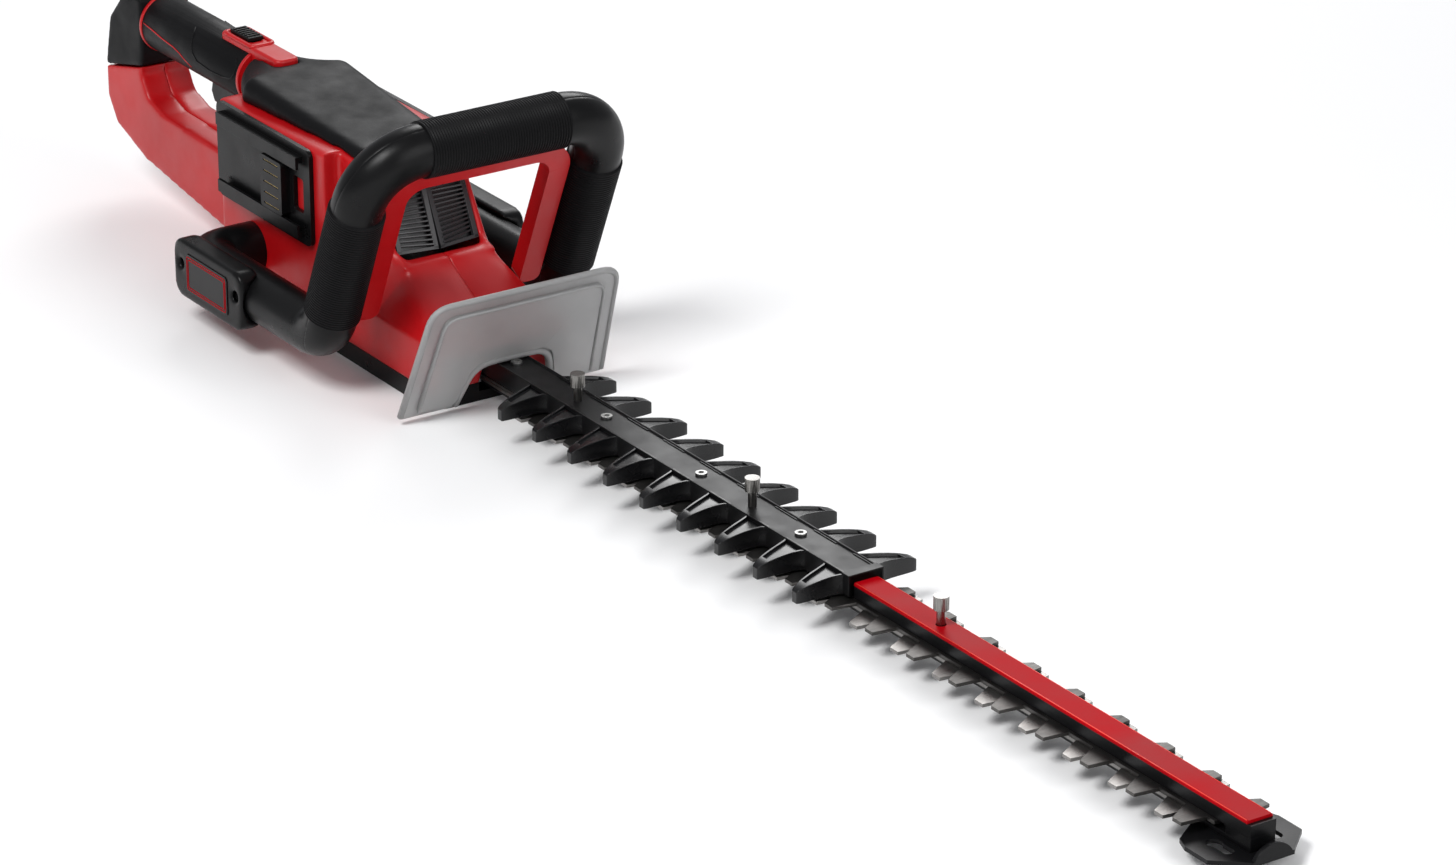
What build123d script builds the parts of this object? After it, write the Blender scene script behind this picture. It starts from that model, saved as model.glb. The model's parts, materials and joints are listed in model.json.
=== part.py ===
from build123d import *
import math
import os

# Hedge trimmer with a double-action blade and two side battery docks, in millimetres.
# +X points forward along the blade, +Y is the tool's left, +Z is up.
# The origin is on the underside of the base plate, on the tool's middle plane.

os.makedirs("parts", exist_ok=True)

# Blade and tooth guard
PITCH = 38.0              # spacing of blade teeth and of guard fingers
TOOTH_COUNT = 17          # teeth on each side of each blade
FINGER_COUNT = 9          # guard fingers on each side
BLADE_THICKNESS = 2.0
BLADE_GAP = 0.2           # running gap above, below and between the blades
BLADE_BAR_HALF = 10.0     # half width of the blade behind its teeth
TOOTH_REACH = 24.8        # half width over the tooth tips
TOOTH_TIP = 7.0           # length of a tooth along its tip
TOOTH_LEAD = 2.5          # how far a tooth's root runs ahead of its tip
TOOTH_TRAIL = 10.5        # how far a tooth's root trails behind its tip
FIRST_TOOTH_X = 146.0     # front of the first tooth tip of the upper blade, right side
SIDE_STAGGER = 8.4        # the left teeth stand this far ahead on the upper blade
BLADE_FRONT_X = 762.0
LOWER_BLADE_Z = 13.2
UPPER_BLADE_Z = LOWER_BLADE_Z + BLADE_THICKNESS + BLADE_GAP
BLADES_TOP_Z = UPPER_BLADE_Z + BLADE_THICKNESS + BLADE_GAP
RAIL_HALF = 8.0
RAIL_TOP_Z = 24.9
RAIL_REAR_X = 58.0
RAIL_FRONT_X = 788.0
STRIP_REAR_X = 447.0
STRIP_THICKNESS = 1.8
HEAD_SINK = 1.0           # how far the front screws' heads sit into the rail
KEEPER_BOTTOM_Z = 10.0
FIRST_FINGER_X = 135.0    # front of the first guard finger tip
FINGER_REACH = 39.8
SCREW_PITCH = 99.2        # spacing of the rail screws
FIRST_SCREW_X = 86.5
RAIL_SCREW_COUNT = 8
RAIL_SCREW_R = 2.5
RAIL_HEAD_R = 3.4
THUMB_SCREW_X = (154.5, 336.5, 516.0)

# Drive
GEAR_X = -5.0             # axis of the drive gear
ECCENTRICITY = 7.3        # throw of each eccentric, so each blade travels 14.6
ECCENTRIC_R = 13.0
YOKE_CLEARANCE = 1.85     # room for the linear stand-in of the crank's sine motion
YOKE_WALL = 6.0
GEAR_MODULE = 1.75
GEAR_TEETH = 36
PINION_TEETH = 9
GEAR_Z = 24.0
GEAR_WIDTH = 8.0
SHAFT_R = 5.0
MOTOR_X = GEAR_X - GEAR_MODULE * (GEAR_TEETH + PINION_TEETH) / 2

# Body
WALL = 3.0
DOCK_HALF = 45.0
TOWER_HALF = 34.0
BODY_BOTTOM_Z = 12.0
BODY_TOP_Z = 126.0
GRIP_R = 18.8
GRIP_Z = 121.7
GRIP_REAR_X = -343.0
GRIP_FRONT_X = -212.0
TAIL_HALF = 18.0
TAIL_REAR_X = -395.0

# Bail, the loop handle in front
BAIL_LEAN = 24.0          # degrees forward from upright
BAIL_R = 16.0
BAIL_HALF = 82.0
BAIL_FOOT = (4.0, 38.0)   # X and Z where legs and arms meet
BAIL_HEIGHT = 140.0       # along the lean
BAIL_WALL = 3.0
ARM_REAR_X = -150.0
SLEEVE_THICKNESS = 1.0
BAR_PIVOT_S = 14.0        # height of the switch bar's pivot, along the lean
BAR_DEPTH = 11.0
BAR_OFFSET = -9.0         # the bar sits towards the rear of the tube at rest
BAR_OUTER = 63.5
BAR_WIDTH = 14.0
BAR_PIN_R = 3.0
BAR_PIN_INNER = 53.0      # where each pin starts inside the bar's leg
BAR_PIN_LENGTH = 17.5

# Hand guard
GUARD_LEAN = 22.0
GUARD_THICKNESS = 3.0

lean = math.radians(BAIL_LEAN)
bail_plane = Plane(
    origin=(BAIL_FOOT[0], 0, BAIL_FOOT[1]),
    x_dir=(0, 1, 0),
    z_dir=(math.cos(lean), 0, -math.sin(lean)),
)
tilt = math.radians(GUARD_LEAN)
guard_plane = Plane(
    origin=(66.5, 0, 5.0),
    x_dir=(0, 1, 0),
    z_dir=(math.cos(tilt), 0, -math.sin(tilt)),
)


def bail_point(y, height):
    """A point of the bail's middle plane, from its width and its height along the lean."""
    return (
        BAIL_FOOT[0] + height * math.sin(lean),
        y,
        BAIL_FOOT[1] + height * math.cos(lean),
    )


def tooth_outline(tip_front, side):
    """Corners of one tooth in plan, on the right (side -1) or the left (side 1)."""
    return [
        (tip_front - TOOTH_TIP, side * TOOTH_REACH),
        (tip_front, side * TOOTH_REACH),
        (tip_front + TOOTH_LEAD, side * 6.0),
        (tip_front - TOOTH_TIP - TOOTH_TRAIL, side * 6.0),
    ]


bar_mid = BAR_OFFSET + BAR_DEPTH / 2
pivot_x = bail_point(0, BAR_PIVOT_S)[0] + bar_mid * math.cos(lean)
pivot_z = bail_point(0, BAR_PIVOT_S)[2] - bar_mid * math.sin(lean)


# ---------------------------------------------------------------- blades and rail

def blade(bottom, yoke_x, first_right, first_left, shift):
    """One blade: a bar with teeth on both sides and a yoke at its rear end."""
    window_x = 2 * (ECCENTRIC_R + YOKE_CLEARANCE)
    window_y = 2 * (ECCENTRIC_R + ECCENTRICITY + 0.5)
    with BuildPart() as piece:
        with BuildSketch(Plane.XY.offset(bottom)):
            with Locations((yoke_x, 0)):
                RectangleRounded(window_x + 2 * YOKE_WALL, window_y + 2 * YOKE_WALL, 8)
            with Locations(((yoke_x + BLADE_FRONT_X - ECCENTRICITY + shift) / 2, 0)):
                Rectangle(BLADE_FRONT_X - ECCENTRICITY + shift - yoke_x, 2 * BLADE_BAR_HALF)
            for index in range(TOOTH_COUNT):
                for first, side in ((first_right, -1), (first_left, 1)):
                    with BuildLine():
                        Polyline(tooth_outline(first + PITCH * index, side), close=True)
                    make_face()
            with Locations((yoke_x, 0)):
                Rectangle(window_x, window_y, mode=Mode.SUBTRACT)
            for index in range(RAIL_SCREW_COUNT - 1):
                with Locations((FIRST_SCREW_X + SCREW_PITCH * index + shift, 0)):
                    SlotOverall(
                        2 * (RAIL_SCREW_R + 0.8 + ECCENTRICITY),
                        2 * (RAIL_SCREW_R + 0.6),
                        mode=Mode.SUBTRACT,
                    )
        extrude(amount=BLADE_THICKNESS)
    return piece


upper_blade = blade(
    UPPER_BLADE_Z, GEAR_X + ECCENTRICITY, FIRST_TOOTH_X, FIRST_TOOTH_X + SIDE_STAGGER, ECCENTRICITY
)
upper_blade.part.label = "upper_blade"
export_step(upper_blade.part, "parts/upper_blade.step")

lower_right_x = FIRST_TOOTH_X - 2 * ECCENTRICITY
lower_blade = blade(
    LOWER_BLADE_Z, GEAR_X - ECCENTRICITY, lower_right_x, lower_right_x - SIDE_STAGGER, -ECCENTRICITY
)
lower_blade.part.label = "lower_blade"
export_step(lower_blade.part, "parts/lower_blade.step")

screw_places = [(FIRST_SCREW_X + SCREW_PITCH * index, 0) for index in range(RAIL_SCREW_COUNT)]

# Guide rail above the blades: the screws go through it, the thumb screws stop inside it.
THUMB_HOLE_DEPTH = 5.0
with BuildPart() as guide_rail:
    with BuildSketch(Plane.XY.offset(BLADES_TOP_Z)):
        with Locations(((RAIL_REAR_X + RAIL_FRONT_X) / 2, 0)):
            Rectangle(RAIL_FRONT_X - RAIL_REAR_X, 2 * RAIL_HALF)
    extrude(amount=RAIL_TOP_Z - BLADES_TOP_Z)
    with BuildSketch(Plane.XY.offset(BLADES_TOP_Z)):
        with Locations(screw_places):
            Circle(RAIL_SCREW_R)
    extrude(amount=RAIL_TOP_Z - BLADES_TOP_Z, mode=Mode.SUBTRACT)
    with BuildSketch(Plane.XY.offset(RAIL_TOP_Z - THUMB_HOLE_DEPTH)):
        with Locations([(x, 0) for x in THUMB_SCREW_X]):
            Circle(2.9)
    extrude(amount=THUMB_HOLE_DEPTH, mode=Mode.SUBTRACT)
    with BuildSketch(Plane.XY.offset(RAIL_TOP_Z - HEAD_SINK)):
        with Locations(screw_places[4:]):
            Circle(RAIL_HEAD_R + 0.6)
    extrude(amount=HEAD_SINK, mode=Mode.SUBTRACT)
guide_rail.part.label = "guide_rail"
export_step(guide_rail.part, "parts/guide_rail.step")

# Keeper bar below the blades, as long as the blades.
with BuildPart() as keeper_bar:
    with BuildSketch(Plane.XY.offset(KEEPER_BOTTOM_Z)):
        with Locations(((RAIL_REAR_X + RAIL_FRONT_X) / 2, 0)):
            Rectangle(RAIL_FRONT_X - RAIL_REAR_X, 2 * RAIL_HALF)
        with Locations(screw_places):
            Circle(RAIL_SCREW_R, mode=Mode.SUBTRACT)
    extrude(amount=LOWER_BLADE_Z - BLADE_GAP - KEEPER_BOTTOM_Z)
keeper_bar.part.label = "keeper_bar"
export_step(keeper_bar.part, "parts/keeper_bar.step")

# Red cover strip on the open stretch of the rail, with rolled edges.
STRIP_POCKET = 0.8        # room under the strip for the screw heads
with BuildPart() as rail_strip:
    with BuildSketch(Plane.XY.offset(RAIL_TOP_Z)):
        with Locations(((STRIP_REAR_X + RAIL_FRONT_X - 3) / 2, 0)):
            Rectangle(RAIL_FRONT_X - 3 - STRIP_REAR_X, 2 * RAIL_HALF + 0.4)
    extrude(amount=STRIP_THICKNESS)
    fillet(rail_strip.faces().sort_by(Axis.Z)[-1].edges().filter_by(Axis.X), radius=1.2)
    with BuildSketch(Plane.XY.offset(RAIL_TOP_Z)):
        with Locations((THUMB_SCREW_X[2], 0)):
            Circle(3.0)
    extrude(amount=STRIP_THICKNESS, mode=Mode.SUBTRACT)
    with BuildSketch(Plane.XY.offset(RAIL_TOP_Z)):
        with Locations(screw_places[4:]):
            Circle(RAIL_HEAD_R + 0.6)
    extrude(amount=STRIP_POCKET, mode=Mode.SUBTRACT)
rail_strip.part.label = "rail_strip"
export_step(rail_strip.part, "parts/rail_strip.step")

# Tooth guard: a channel over the rail with nine fingers on each side.
CHANNEL_HALF = 11.0
CHANNEL_TOP_Z = 31.0
CHANNEL_REAR_X = 61.0
FINGER_TIP = 5.5
FINGER_ROOT = 14.5
FINGER_BOTTOM_Z = 18.6
FINGER_RIM = 1.6
with BuildPart() as tooth_guard:
    with BuildSketch(Plane.XY.offset(FINGER_BOTTOM_Z)):
        with Locations(((CHANNEL_REAR_X + STRIP_REAR_X) / 2, 0)):
            Rectangle(STRIP_REAR_X - CHANNEL_REAR_X, 2 * CHANNEL_HALF)
    extrude(amount=CHANNEL_TOP_Z - FINGER_BOTTOM_Z)
    # Fingers rise from tip to root, as a wedge seen from the front.
    with BuildSketch(Plane.XY.offset(FINGER_BOTTOM_Z)):
        for index in range(FINGER_COUNT):
            front = FIRST_FINGER_X + PITCH * index
            for side in (-1, 1):
                with BuildLine():
                    Polyline(
                        (front, side * FINGER_REACH),
                        (front + 1.0, side * (CHANNEL_HALF - 1)),
                        (front - FINGER_ROOT, side * (CHANNEL_HALF - 1)),
                        (front - FINGER_TIP, side * FINGER_REACH),
                        close=True,
                    )
                make_face()
    extrude(amount=CHANNEL_TOP_Z - FINGER_BOTTOM_Z - 0.6)
    with BuildSketch(Plane.YZ.offset(CHANNEL_REAR_X)):
        for side in (-1, 1):
            with BuildLine():
                Polyline(
                    (side * (CHANNEL_HALF + 1.0), CHANNEL_TOP_Z + 1),
                    (side * (CHANNEL_HALF + 1.0), 30.0),
                    (side * (CHANNEL_HALF + 12.0), 28.9),
                    (side * (FINGER_REACH + 1), 25.4),
                    (side * (FINGER_REACH + 1), CHANNEL_TOP_Z + 1),
                    close=True,
                )
            make_face()
    extrude(amount=STRIP_REAR_X - CHANNEL_REAR_X + 10, mode=Mode.SUBTRACT)
    # The pocket that sits over the rail.
    with BuildSketch(Plane.YZ.offset(CHANNEL_REAR_X)):
        with Locations((0, (FINGER_BOTTOM_Z + RAIL_TOP_Z) / 2)):
            Rectangle(2 * RAIL_HALF, RAIL_TOP_Z - FINGER_BOTTOM_Z)
    extrude(amount=STRIP_REAR_X - CHANNEL_REAR_X, mode=Mode.SUBTRACT)
    # The sunk floor between the channel's raised edges.
    with BuildSketch(Plane.XY.offset(CHANNEL_TOP_Z - 1.2)):
        with Locations(((CHANNEL_REAR_X + STRIP_REAR_X) / 2 - 4, 0)):
            Rectangle(STRIP_REAR_X - CHANNEL_REAR_X - 8, 2 * (CHANNEL_HALF - 2.2))
    extrude(amount=2, mode=Mode.SUBTRACT)
    # Sunk panels in the fingers between their two rims.
    with BuildSketch(Plane.XY.offset(27.2)):
        for index in range(FINGER_COUNT):
            front = FIRST_FINGER_X + PITCH * index
            for side in (-1, 1):
                with BuildLine():
                    Polyline(
                        (front - FINGER_RIM, side * 27),
                        (front + 0.4 - FINGER_RIM, side * (CHANNEL_HALF + 1.5)),
                        (front - FINGER_ROOT + 3.2, side * (CHANNEL_HALF + 1.5)),
                        (front - FINGER_TIP - 1.6, side * 27),
                        close=True,
                    )
                make_face()
    extrude(amount=4, mode=Mode.SUBTRACT)
    with BuildSketch(Plane.XY.offset(RAIL_TOP_Z)):
        with Locations(screw_places[:4]):
            Circle(RAIL_SCREW_R)
        with Locations([(x, 0) for x in THUMB_SCREW_X[:2]]):
            Circle(3.0)
    extrude(amount=CHANNEL_TOP_Z - RAIL_TOP_Z, mode=Mode.SUBTRACT)
tooth_guard.part.label = "tooth_guard"
export_step(tooth_guard.part, "parts/tooth_guard.step")

GUARD_FLOOR_Z = CHANNEL_TOP_Z - 1.2
NUT_BOTTOM_Z = KEEPER_BOTTOM_Z - 3.2


def rail_screw_set(places, seat):
    """Rail screws from their heads on the seat down to their nuts."""
    with BuildPart() as screws:
        with BuildSketch(Plane.XY.offset(NUT_BOTTOM_Z)):
            with Locations(places):
                Circle(RAIL_SCREW_R)
        extrude(amount=seat - NUT_BOTTOM_Z)
        with BuildSketch(Plane.XY.offset(seat)):
            with Locations(places):
                Circle(RAIL_HEAD_R)
        extrude(amount=1.5)
        with BuildSketch(Plane.XY.offset(seat + 0.6)):
            with Locations(places):
                RegularPolygon(1.9, 6)
        extrude(amount=1.2, mode=Mode.SUBTRACT)
    return screws


tooth_guard_screws = rail_screw_set(screw_places[:4], GUARD_FLOOR_Z)
tooth_guard_screws.part.label = "tooth_guard_screws"
export_step(tooth_guard_screws.part, "parts/tooth_guard_screws.step")

rail_screws = rail_screw_set(screw_places[4:], RAIL_TOP_Z - HEAD_SINK)
rail_screws.part.label = "rail_screws"
export_step(rail_screws.part, "parts/rail_screws.step")

# Spacer that fills the blades' height between rail and keeper bar at the tip.
with BuildPart() as tip_spacer:
    with BuildSketch(Plane.XY.offset(LOWER_BLADE_Z - BLADE_GAP)):
        with Locations((RAIL_FRONT_X - 10, 0)):
            Rectangle(20, 2 * RAIL_HALF)
        with Locations(screw_places[7:]):
            Circle(RAIL_SCREW_R, mode=Mode.SUBTRACT)
    extrude(amount=BLADES_TOP_Z - LOWER_BLADE_Z + BLADE_GAP)
tip_spacer.part.label = "tip_spacer"
export_step(tip_spacer.part, "parts/tip_spacer.step")

TIP_PLATE = 2.5           # sheet thickness of the tip guard
NUT_HEIGHT = 3.2
tip_plate_bottom = KEEPER_BOTTOM_Z - TIP_PLATE

# Nuts under the keeper bar; the last one sits under the tip guard.
with BuildPart() as rail_nuts:
    with BuildSketch(Plane.XY.offset(KEEPER_BOTTOM_Z - NUT_HEIGHT)):
        with Locations(screw_places[:7]):
            RegularPolygon(4.6, 6)
            Circle(RAIL_SCREW_R, mode=Mode.SUBTRACT)
    extrude(amount=NUT_HEIGHT)
    with BuildSketch(Plane.XY.offset(tip_plate_bottom - NUT_HEIGHT)):
        with Locations(screw_places[7:]):
            RegularPolygon(4.6, 6)
            Circle(RAIL_SCREW_R, mode=Mode.SUBTRACT)
    extrude(amount=NUT_HEIGHT)
rail_nuts.part.label = "rail_nuts"
export_step(rail_nuts.part, "parts/rail_nuts.step")

# Tip guard: a stamped plate under the rail's end with side wings and a raised front lip.
TIP_FRONT_X = 797.0
LIP_TOP_Z = 17.2
KEYHOLE_X = 766.0         # rear end of each hanging slot
KEYHOLE_Y = 15.5
KEYHOLE_LENGTH = 17.0
KEYHOLE_SLOT = 6.4
KEYHOLE_ROUND_R = 4.4
with BuildPart() as tip_guard:
    with BuildSketch(Plane.XY.offset(tip_plate_bottom)):
        with BuildLine():
            Polyline(
                (744, -9), (756, -27), (764, -30), (782, -30), (TIP_FRONT_X - 4, -17),
                (TIP_FRONT_X, -13), (TIP_FRONT_X, 13), (TIP_FRONT_X - 4, 17), (782, 30),
                (764, 30), (756, 27), (744, 9),
                close=True,
            )
        make_face()
        for side in (-1, 1):
            with Locations((KEYHOLE_X + KEYHOLE_LENGTH / 2, side * KEYHOLE_Y)):
                SlotOverall(KEYHOLE_LENGTH, KEYHOLE_SLOT, mode=Mode.SUBTRACT)
            with Locations((KEYHOLE_X + KEYHOLE_SLOT / 2, side * KEYHOLE_Y)):
                Circle(KEYHOLE_ROUND_R, mode=Mode.SUBTRACT)
        with Locations(screw_places[7:]):
            Circle(RAIL_SCREW_R, mode=Mode.SUBTRACT)
    extrude(amount=TIP_PLATE)
    # Front lip, an arch in front of the rail's end.
    with BuildSketch(Plane.YZ.offset(TIP_FRONT_X - TIP_PLATE)):
        with BuildLine():
            Line((-13, tip_plate_bottom), (13, tip_plate_bottom))
            ThreePointArc((13, tip_plate_bottom), (0, LIP_TOP_Z), (-13, tip_plate_bottom))
        make_face()
    extrude(amount=TIP_PLATE)
tip_guard.part.label = "tip_guard"
export_step(tip_guard.part, "parts/tip_guard.step")

# Knurled thumb screws: the shank stops short of its hole's end.
for number, x in enumerate(THUMB_SCREW_X, start=1):
    seat_z = GUARD_FLOOR_Z if number < 3 else RAIL_TOP_Z + STRIP_THICKNESS
    with BuildPart() as thumb_screw:
        with BuildSketch(Plane.XY.offset(RAIL_TOP_Z - THUMB_HOLE_DEPTH + 0.6)):
            with Locations((x, 0)):
                Circle(2.5)
        extrude(amount=seat_z + 10.5 - RAIL_TOP_Z + THUMB_HOLE_DEPTH - 0.6)
        with BuildSketch(Plane.XY.offset(seat_z + 9.0)):
            with Locations((x, 0)):
                Circle(4.3)
        extrude(amount=8.0)
        with BuildSketch(Plane.XY.offset(seat_z + 9.6)):
            with Locations((x, 0)):
                with PolarLocations(4.35, 18):
                    Rectangle(0.5, 0.6)
        extrude(amount=6.4, mode=Mode.SUBTRACT)
    thumb_screw.part.label = f"thumb_screw_{number}"
    export_step(thumb_screw.part, f"parts/thumb_screw_{number}.step")

# ---------------------------------------------------------------- drive

def spur_outline(centre_x, teeth, phase):
    """Corners of a spur gear with plain tapered teeth, one tooth centred on the phase angle."""
    pitch_r = GEAR_MODULE * teeth / 2
    root_r = pitch_r - 1.1 * GEAR_MODULE
    tip_r = pitch_r + 0.75 * GEAR_MODULE
    corners = []
    for index in range(teeth):
        centre = phase + 2 * math.pi * index / teeth
        root_half = 0.95 * GEAR_MODULE / root_r
        tip_half = 0.36 * GEAR_MODULE / tip_r
        for radius, angle in (
            (root_r, centre - root_half),
            (tip_r, centre - tip_half),
            (tip_r, centre + tip_half),
            (root_r, centre + root_half),
        ):
            corners.append((centre_x + radius * math.cos(angle), radius * math.sin(angle)))
    return corners


# Gear, shaft and the two eccentrics, half a turn apart, in one piece.
with BuildPart() as drive_gear:
    with BuildSketch(Plane.XY.offset(GEAR_Z)):
        with BuildLine():
            Polyline(spur_outline(GEAR_X, GEAR_TEETH, 0.0), close=True)
        make_face()
        with Locations((GEAR_X, 0)):
            with PolarLocations(20, 6):
                Circle(4.5, mode=Mode.SUBTRACT)
    extrude(amount=GEAR_WIDTH)
    with BuildSketch(Plane.XY.offset(KEEPER_BOTTOM_Z)):
        with Locations((GEAR_X, 0)):
            Circle(SHAFT_R)
    extrude(amount=41.0 - KEEPER_BOTTOM_Z)
    with BuildSketch(Plane.XY.offset(BLADES_TOP_Z)):
        with Locations((GEAR_X, 0)):
            Circle(11)
    extrude(amount=GEAR_Z - BLADES_TOP_Z)
    with BuildSketch(Plane.XY.offset(UPPER_BLADE_Z - 0.1)):
        with Locations((GEAR_X + ECCENTRICITY, 0)):
            Circle(ECCENTRIC_R)
    extrude(amount=BLADES_TOP_Z - UPPER_BLADE_Z + 0.1)
    with BuildSketch(Plane.XY.offset(LOWER_BLADE_Z)):
        with Locations((GEAR_X - ECCENTRICITY, 0)):
            Circle(ECCENTRIC_R)
    extrude(amount=UPPER_BLADE_Z - 0.1 - LOWER_BLADE_Z)
drive_gear.part.label = "drive_gear"
export_step(drive_gear.part, "parts/drive_gear.step")

# Cover plate under the gear, with the lower bush seat.
CUP_REAR_X = -60.0
CUP_HALF = 38.0
CUP_TOP_Z = 37.0
with BuildPart() as gearbox_cover:
    with BuildSketch(Plane.XY.offset(KEEPER_BOTTOM_Z)):
        with Locations(((CUP_REAR_X + RAIL_REAR_X) / 2, 0)):
            RectangleRounded(RAIL_REAR_X - CUP_REAR_X, 2 * CUP_HALF, 8)
        with Locations((GEAR_X, 0)):
            Circle(SHAFT_R + 2.0, mode=Mode.SUBTRACT)
    extrude(amount=3.0)
gearbox_cover.part.label = "gearbox_cover"
export_step(gearbox_cover.part, "parts/gearbox_cover.step")

with BuildPart() as lower_bush:
    with BuildSketch(Plane.XY.offset(KEEPER_BOTTOM_Z)):
        with Locations((GEAR_X, 0)):
            Circle(SHAFT_R + 2.0)
            Circle(SHAFT_R + 0.03, mode=Mode.SUBTRACT)
    extrude(amount=3.0)
lower_bush.part.label = "gear_bush"
export_step(lower_bush.part, "parts/gear_bush.step")

# Cast cup over the gear, open below, with the blade slot in its front wall.
with BuildPart() as gearbox_housing:
    with BuildSketch(Plane.XY.offset(13.0)):
        with Locations(((CUP_REAR_X + RAIL_REAR_X) / 2, 0)):
            RectangleRounded(RAIL_REAR_X - CUP_REAR_X, 2 * CUP_HALF, 8)
    extrude(amount=CUP_TOP_Z - 13.0)
    with BuildSketch(Plane.XY.offset(13.0)):
        with Locations(((CUP_REAR_X + RAIL_REAR_X) / 2, 0)):
            RectangleRounded(RAIL_REAR_X - CUP_REAR_X - 6, 2 * CUP_HALF - 6, 5)
    extrude(amount=CUP_TOP_Z - 4.0 - 13.0, mode=Mode.SUBTRACT)
    with BuildSketch(Plane.XY.offset(13.0)):
        with Locations((RAIL_REAR_X - 1, 0)):
            Rectangle(8, 2 * BLADE_BAR_HALF + 2)
    extrude(amount=BLADES_TOP_Z - 13.0, mode=Mode.SUBTRACT)
    with BuildSketch(Plane.XY.offset(CUP_TOP_Z - 4.0)):
        with Locations((GEAR_X, 0)):
            Circle(14)
    extrude(amount=11.0)
    with BuildSketch(Plane.XY.offset(CUP_TOP_Z - 4.0)):
        with Locations((GEAR_X, 0)):
            Circle(11)
    extrude(amount=9.0, mode=Mode.SUBTRACT)
    with BuildSketch(Plane.XY.offset(CUP_TOP_Z - 4.0)):
        with Locations((MOTOR_X, 0)):
            Circle(11)
    extrude(amount=4.0, mode=Mode.SUBTRACT)
gearbox_housing.part.label = "gearbox_housing"
export_step(gearbox_housing.part, "parts/gearbox_housing.step")

with BuildPart() as gear_bearing:
    with BuildSketch(Plane.XY.offset(CUP_TOP_Z - 3.0)):
        with Locations((GEAR_X, 0)):
            Circle(11)
            Circle(SHAFT_R + 0.03, mode=Mode.SUBTRACT)
    extrude(amount=7.0)
    fillet(gear_bearing.edges().filter_by(GeomType.CIRCLE), radius=0.4)
gear_bearing.part.label = "gear_bearing"
export_step(gear_bearing.part, "parts/gear_bearing.step")

# Upright motor behind the gear.
CAN_R = 23.0
CAN_BOTTOM_Z = CUP_TOP_Z
CAN_TOP_Z = 100.0
with BuildPart() as motor_can:
    with BuildSketch(Plane.XY.offset(CAN_BOTTOM_Z)):
        with Locations((MOTOR_X, 0)):
            Circle(CAN_R)
    extrude(amount=CAN_TOP_Z - CAN_BOTTOM_Z)
    with BuildSketch(Plane.XY.offset(CAN_BOTTOM_Z + 3)):
        with Locations((MOTOR_X, 0)):
            Circle(CAN_R - 2)
    extrude(amount=CAN_TOP_Z - CAN_BOTTOM_Z, mode=Mode.SUBTRACT)
    with BuildSketch(Plane.XY.offset(CAN_BOTTOM_Z)):
        with Locations((MOTOR_X, 0)):
            Circle(8)
    extrude(amount=3, mode=Mode.SUBTRACT)
motor_can.part.label = "motor_can"
export_step(motor_can.part, "parts/motor_can.step")

with BuildPart() as motor_magnets:
    with BuildSketch(Plane.XY.offset(CAN_BOTTOM_Z + 12)):
        with Locations((MOTOR_X, 0)):
            Circle(CAN_R - 2)
            Circle(CAN_R - 6, mode=Mode.SUBTRACT)
            Rectangle(60, 8, mode=Mode.SUBTRACT)
    extrude(amount=36)
motor_magnets.part.label = "motor_magnets"
export_step(motor_magnets.part, "parts/motor_magnets.step")

with BuildPart() as motor_end_cap:
    with BuildSketch(Plane.XY.offset(CAN_TOP_Z)):
        with Locations((MOTOR_X, 0)):
            Circle(CAN_R)
            Circle(6.5, mode=Mode.SUBTRACT)
            with PolarLocations(15, 6):
                Circle(3, mode=Mode.SUBTRACT)
    extrude(amount=3)
motor_end_cap.part.label = "motor_end_cap"
export_step(motor_end_cap.part, "parts/motor_end_cap.step")

MOTOR_SHAFT_R = 2.5
with BuildPart() as motor_bearings:
    with BuildSketch(Plane.XY.offset(CAN_BOTTOM_Z)):
        with Locations((MOTOR_X, 0)):
            Circle(8)
            Circle(MOTOR_SHAFT_R + 0.03, mode=Mode.SUBTRACT)
    extrude(amount=3)
    with BuildSketch(Plane.XY.offset(CAN_TOP_Z)):
        with Locations((MOTOR_X, 0)):
            Circle(6.5)
            Circle(MOTOR_SHAFT_R + 0.03, mode=Mode.SUBTRACT)
    extrude(amount=3)
motor_bearings.part.label = "motor_bearings"
export_step(motor_bearings.part, "parts/motor_bearings.step")

with BuildPart() as motor_shaft:
    with BuildSketch(Plane.XY.offset(GEAR_Z - 1)):
        with Locations((MOTOR_X, 0)):
            Circle(MOTOR_SHAFT_R)
    extrude(amount=110.0 - GEAR_Z + 1)
motor_shaft.part.label = "motor_shaft"
export_step(motor_shaft.part, "parts/motor_shaft.step")

with BuildPart() as motor_rotor:
    with BuildSketch(Plane.XY.offset(CAN_BOTTOM_Z + 12)):
        with Locations((MOTOR_X, 0)):
            Circle(CAN_R - 7)
            with PolarLocations(CAN_R - 8.5, 8):
                Rectangle(6, 2.5, mode=Mode.SUBTRACT)
            Circle(MOTOR_SHAFT_R, mode=Mode.SUBTRACT)
    extrude(amount=34)
motor_rotor.part.label = "motor_rotor"
export_step(motor_rotor.part, "parts/motor_rotor.step")

with BuildPart() as motor_pinion:
    with BuildSketch(Plane.XY.offset(GEAR_Z)):
        with BuildLine():
            Polyline(spur_outline(MOTOR_X, PINION_TEETH, math.pi / PINION_TEETH), close=True)
        make_face()
        with Locations((MOTOR_X, 0)):
            Circle(MOTOR_SHAFT_R, mode=Mode.SUBTRACT)
    extrude(amount=GEAR_WIDTH)
motor_pinion.part.label = "motor_pinion"
export_step(motor_pinion.part, "parts/motor_pinion.step")

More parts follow.
